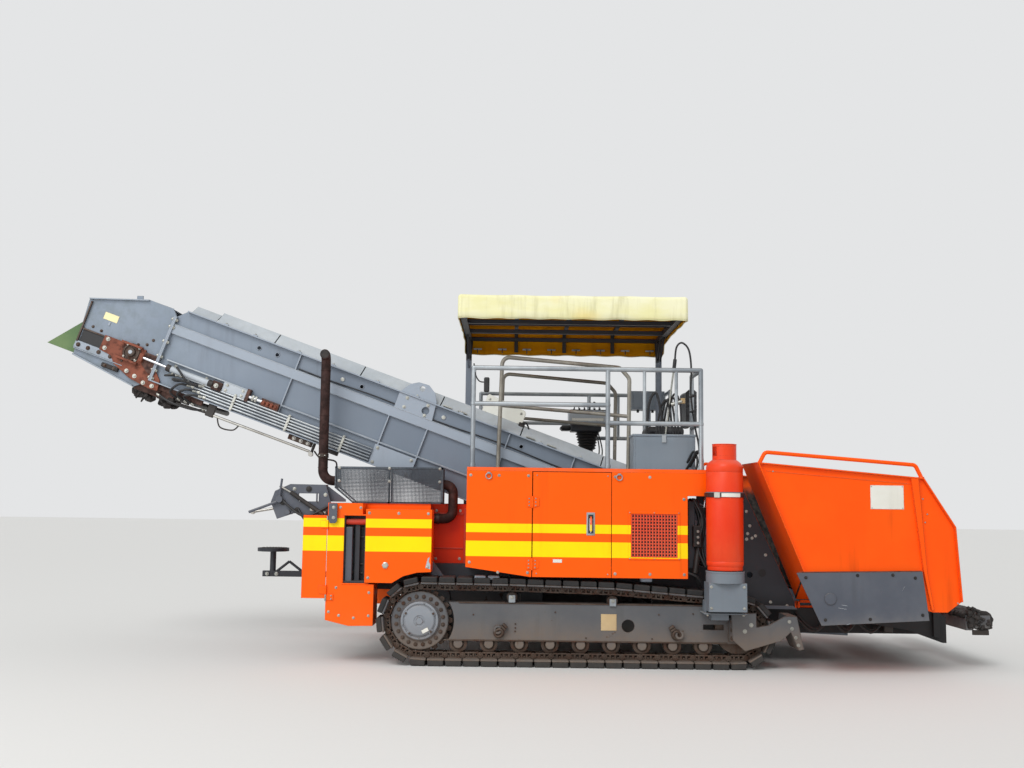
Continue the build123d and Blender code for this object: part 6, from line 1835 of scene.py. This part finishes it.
def makeWingTrim(sign):
    shape = Shape()
    y = wing["wallY"]
    if sign < 0:
        shape.box((3.136, y - 0.0025, 1.408), (3.422, y, 1.612), 0, 0.0006)
        for x in (3.146, 3.412):
            for z in (1.418, 1.602):
                shape.screw((x, y - 0.0025, z), 0.007, 1)
    shape.bolts(((3.62, 1.37), (3.585, 1.5), (3.60, 1.3), (3.86, 0.62), (2.3, 1.72)), y, 0.012, 1, False)
    # feet of the handrail and seam along the upper edge
    for x, z in ((2.192, 1.786), (3.578, 1.681)):
        shape.lathe([(0.016, 0), (0.026, 0), (0.024, 0.008), (0.016, 0.009)], (x, y, z), (0, 0, 1), 20, 2)
    shape.plate([(2.24, 1.727), (3.48, 1.63), (3.48, 1.624), (2.24, 1.721)], y - 0.004, y + 0.001, 2)
    # skirt: top bead of bare weld, screws and the round boss with its bore
    y = wing["skirtY"]
    shape.plate([(2.5, 0.868), (3.55, 0.8905), (3.55, 0.884), (2.5, 0.861)], y + 0.004, y + 0.036, 3)
    shape.bolts(((2.56, 0.822), (3.49, 0.83), (3.545, 0.52), (2.72, 0.47), (3.0, 0.846), (3.3, 0.852),
        (3.1, 0.48)), y, 0.015, 4)
    shape.lathe([(0, 0.001), (0.024, 0.001), (0.026, 0.006), (0.04, 0.006), (0.04, 0), (0.018, -0.004)],
        (2.764, y - 0.0057, 0.646), near, 32, 4)
    for x0, z0, x1, z1 in ((2.83, 0.57, 2.90, 0.56), (2.86, 0.595, 2.91, 0.588), (2.9, 0.43, 2.93, 0.44),
            (3.0, 0.76, 3.0, 0.80), (3.2, 0.7, 3.2, 0.74), (3.38, 0.72, 3.4, 0.76)):
        shape.plate([(x0, z0), (x1, z1), (x1, z1 + 0.004), (x0, z0 + 0.004)], y - 0.0006, y + 0.0005, 5)
    # old asphalt packed into the fold between rear wall and floor
    steps, corners = 24, []
    (x0, y0, z0), (byX, byY, byZ) = wing["foldFrom"], wing["foldBy"]
    for index in range(steps + 1):
        share = 0.97 * index / steps
        x, y, z = x0 + byX * share, y0 + byY * share, z0 - byZ * share
        lump = 0.009 * noise.noise((x * 40, y * 24, 0))
        corners += [(x - 0.003, y, z + 0.034 - 0.014 * share + lump), (x + 0.03 + lump, y, z - 0.002),
            (x + 0.004, y, z - 0.009), (x - 0.011, y, z - 0.003)]
    faces = [(4 * step + side, 4 * step + (side + 1) % 4, 4 * step + 4 + (side + 1) % 4, 4 * step + 4 + side)
        for step in range(steps) for side in range(4)]
    shape.add(corners, faces + [(3, 2, 1, 0), tuple(4 * steps + side for side in range(4))], 6)
    if sign > 0:
        shape.flip()
    shape.finish("wingTrim" + sideWord(sign).title(), sideWord(sign) + "_wing", "orange_paint",
        "white zinc orange orangeRust grimy cover tar")


makeWingTrim(-1)
makeWingTrim(1)

auger = {"x": 2.99, "z": 0.8, "shaft": 0.045, "flight": 0.158, "pitch": 0.2, "inner": 0.05, "outer": 0.695}


def makeAuger(sign):
    shape = Shape()
    x, z = auger["x"], auger["z"]
    span = auger["outer"] - auger["inner"]
    shape.rod((x, sign * auger["inner"], z), (x, sign * auger["outer"], z), auger["shaft"], 0, 28, 0.003)
    steps = int(span / auger["pitch"] * 28)
    points, faces = [], []
    for index in range(steps + 1):
        along = auger["inner"] + 0.012 + (span - 0.024) * index / steps
        angle = 2 * pi * along / auger["pitch"] * sign
        wear = 1 - 0.03 * abs(noise.noise((along * 9, sign, 0)))
        for side, reach in ((-1, auger["shaft"] * 0.9), (-1, auger["flight"] * wear),
                (1, auger["flight"] * wear), (1, auger["shaft"] * 0.9)):
            points.append((x + reach * cos(angle), sign * (along + side * 0.0065), z + reach * sin(angle)))
    for index in range(steps):
        a, b = index * 4, index * 4 + 4
        for edge in range(4):
            faces.append((a + edge, a + (edge + 1) % 4, b + (edge + 1) % 4, b + edge))
    faces += [(0, 1, 2, 3), (steps * 4 + 3, steps * 4 + 2, steps * 4 + 1, steps * 4)]
    shape.add(points, faces, 0)
    shape.finish("auger" + sideWord(sign).title(), sideWord(sign) + "_auger", "track_steel", "tar",
        "auger_" + sideWord(sign), sharp=50)


makeAuger(-1)
makeAuger(1)

pushRoller = {"x": 4.308, "z": 0.42, "radius": 0.099, "inner": 0.074, "outer": 0.966}


def makePushRoller(sign):
    # a drum crusted with old asphalt
    shape = Shape()
    base, rings, sides = pushRoller, 74, 56
    points, faces = [], []
    for ring in range(rings + 1):
        along = base["inner"] + 0.006 + (base["outer"] - base["inner"] - 0.012) * ring / rings
        for side in range(sides):
            angle = 2 * pi * side / sides
            lump = noise.noise((along * 16, 2.2 * cos(angle), 2.2 * sin(angle) + sign * 7))
            fine = noise.noise((along * 45, 6 * cos(angle), 6 * sin(angle)))
            reach = min(base["radius"] - 0.011 + 0.012 * lump + 0.006 * fine, base["radius"])
            points.append((base["x"] + reach * cos(angle), sign * along, base["z"] + reach * sin(angle)))
    for ring in range(rings):
        for side in range(sides):
            a, b = ring * sides + side, ring * sides + (side + 1) % sides
            faces.append((a, b, b + sides, a + sides))
    faces += [tuple(range(sides))[::-1], tuple(rings * sides + side for side in range(sides))]
    shape.add(points, faces, 0)
    for face, way in ((base["inner"] + 0.006, -1), (base["outer"] - 0.006, 1)):
        shape.lathe([(0, 0), (0.034, 0), (0.03, 0.006), (0, 0.006)], (base["x"], sign * face, base["z"]),
            (0, way * sign, 0), 20, 1)
    shape.finish("pushRoller" + sideWord(sign).title(), sideWord(sign) + "_roller", "track_steel",
        "tar grimy", "push_roller_" + sideWord(sign), sharp=55)


makePushRoller(-1)
makePushRoller(1)


def addLumps(shape, low, high, count, sizes, slot):
    # clods of asphalt stuck within a box
    low, high = Vector(low), Vector(high)
    for _ in range(count):
        size = random.uniform(*sizes)
        spot = Vector([random.uniform(low[axis] + size, high[axis] - size) for axis in range(3)])
        ball = bmesh.new()
        bmesh.ops.create_icosphere(ball, subdivisions=2, radius=size)
        shift = random.random() * 20
        for vertex in ball.verts:
            bump = noise.noise(vertex.co * (1.6 / size) + Vector((shift, 0, 0)))
            vertex.co *= 0.82 + 0.3 * bump
        points = [spot + vertex.co for vertex in ball.verts]
        faces = [tuple(vertex.index for vertex in face.verts) for face in ball.faces]
        shape.add(points, faces, slot)
        ball.free()


def makePushBarTrim():
    shape = Shape()
    random.seed(8)
    addLumps(shape, (4.12, -1.03, 0.34), (4.26, -0.99, 0.56), 26, (0.016, 0.034), 0)
    addLumps(shape, (4.1, -1.0, 0.43), (4.2, -0.1, 0.51), 60, (0.016, 0.036), 0)
    addLumps(shape, (4.13, -1.04, 0.33), (4.36, -1.0, 0.47), 16, (0.012, 0.02), 0)
    for z in (0.37, 0.41):
        shape.bolt((4.16, -1.0, z), 0.02, 1)
    shape.box((4.18, -1.012, 0.3), (4.33, -1.0, 0.345), 1, 0.004)
    shape.mirror()
    shape.finish("pushBarTrim", "push_bar", "track_steel", "tar grimy")


makePushBarTrim()


def makeUndercarriage():
    # dark plates, hoses and clods under the hopper
    shape = Shape()
    random.seed(13)
    shape.plate([(3.2, 0.5), (3.88, 0.5), (3.965, 0.45), (3.965, 0.222), (3.93, 0.222), (3.62, 0.33),
        (3.3, 0.38)], -0.965, -0.95, 0)
    shape.plate([(3.84, 0.5), (3.9, 0.5), (3.9, 0.26), (3.84, 0.28)], -1.0, -0.95, 0)
    for x0, x1 in ((2.62, 2.95), (2.95, 3.2), (3.15, 3.45)):
        path = [Vector((x0, -0.9, 0.44)), Vector(((x0 + x1) / 2, -0.92, 0.3)), Vector((x1, -0.9, 0.43))]
        shape.hose(path, 8, 0.012, 1, 8)
        shape.hose([point + Vector((0.03, 0.08, 0.02)) for point in path], 8, 0.009, 1, 8)
    shape.box((3.42, -0.94, 0.3), (3.5, -0.8, 0.48), 2, 0.008)
    shape.rod((3.3, -0.9, 0.42), (3.6, -0.9, 0.38), 0.03, 2, 18, 0.004)
    shape.rod((3.58, -0.9, 0.382), (3.78, -0.9, 0.36), 0.014, 3, 14)
    addLumps(shape, (3.5, -0.98, 0.36), (3.95, -0.8, 0.46), 24, (0.014, 0.03), 4)
    shape.mirror()
    shape.finish("undercarriage", "chassis", "dark_paint", "dark hose grimy polished tar")


makeUndercarriage()


rearStep = {"x": -2.496, "y": 0.945, "tread": 0.148, "ribs": 9, "ribPitch": 0.03}


def makeStepTrim():
    # rear step: rim, ribbed tread and the bolts of its joint
    shape = Shape()
    x, y = rearStep["x"], rearStep["y"]
    shape.lathe([(0.15, 0), (0.167, 0), (0.167, 0.036), (0.15, 0.036), (0.15, 0)], (x, y, 0.868), (0, 0, 1),
        40, 0)
    for index in range(rearStep["ribs"]):
        shift = -0.12 + rearStep["ribPitch"] * index
        half = sqrt(rearStep["tread"] ** 2 - shift ** 2)
        shape.box((x + shift - 0.004, y - half, 0.902), (x + shift + 0.004, y + half, 0.908), 1, 0.001)
    for dx in (-0.05, 0.05):
        shape.bolt((x + dx, y - 0.05, 0.63), 0.022, 2)
    shape.finish("stepTrim", "chassis", "dark_paint", "dark black zinc")


makeStepTrim()
print("front made")


# Floor, light and camera

def makeStage():
    half = 60.0
    mesh = bpy.data.meshes.new("floor")
    mesh.from_pydata([(-half, -half, 0), (half, -half, 0), (half, half, 0), (-half, half, 0)], [],
        [(0, 1, 2, 3)])
    ground = bpy.data.objects.new("floor", mesh)
    bpy.context.scene.collection.objects.link(ground)
    g = newMaterial("paleFloor", Roughness=0.9)
    g.plug(g.shader.inputs["Base Color"], g.mix(g.noise(30, 5, 0.6) * 0.12, (214, 214, 212),
        (180, 180, 180)))
    mesh.materials.append(g.material)


def makeLight():
    light = {"ambient": 0.72, "background": (228, 229, 230), "sunStrength": 1.35, "sunAngle": 0.5,
        "sunTurn": (radians(43), 0, radians(-24)), "fillSize": 9.0, "fillPower": 300.0,
        "fillPlace": (-6.5, -8.5, 4.5)}
    world = bpy.data.worlds.new("paleWorld")
    bpy.context.scene.world = world
    world.use_nodes = True
    world.node_tree.nodes.clear()
    g = Graph(world.node_tree)
    # the camera, mirror and glass rays see the backdrop, everything else the ambient light
    camera, glossy, clear = [g.get("LightPath", "Is %s Ray" % kind) for kind in ("Camera", "Glossy",
        "Transmission")]
    seen = g.math("MAXIMUM", camera, g.math("MAXIMUM", glossy, clear))
    ambient = g.get("Background", 0, {"Color": (255, 255, 255), "Strength": light["ambient"]})
    backdrop = g.get("Background", 0, {"Color": light["background"], "Strength": 1.0})
    g.node("OutputWorld", {0: g.get("MixShader", 0, {0: seen, 1: ambient, 2: backdrop})})
    lamp = bpy.data.lights.new("softSun", "SUN")
    lamp.energy = light["sunStrength"]
    lamp.angle = light["sunAngle"]
    sun = bpy.data.objects.new("softSun", lamp)
    sun.rotation_euler = light["sunTurn"]
    bpy.context.scene.collection.objects.link(sun)
    lamp = bpy.data.lights.new("fill", "AREA")
    lamp.size = light["fillSize"]
    lamp.energy = light["fillPower"]
    fill = bpy.data.objects.new("fill", lamp)
    fill.location = light["fillPlace"]
    fill.rotation_euler = (Vector((0, 0, 1.2)) - fill.location).to_track_quat("-Z", "Y").to_euler()
    bpy.context.scene.collection.objects.link(fill)


def makeCamera():
    view = {"place": (0.043, -11.0, 1.44), "pitch": 96.05, "roll": 0.75, "lens": 38.67, "sensor": 36.0}
    lens = bpy.data.cameras.new("camera")
    lens.lens = view["lens"]
    lens.sensor_width = view["sensor"]
    camera = bpy.data.objects.new("camera", lens)
    camera.matrix_world = (Matrix.Translation(view["place"]) @ Matrix.Rotation(radians(view["pitch"]), 4,
        "X") @ Matrix.Rotation(radians(view["roll"]), 4, "Z"))
    bpy.context.scene.collection.objects.link(camera)
    bpy.context.scene.camera = camera


makeStage()
makeLight()
makeCamera()
bpy.context.scene.view_settings.view_transform = "Standard"
print("stage, light and camera set")
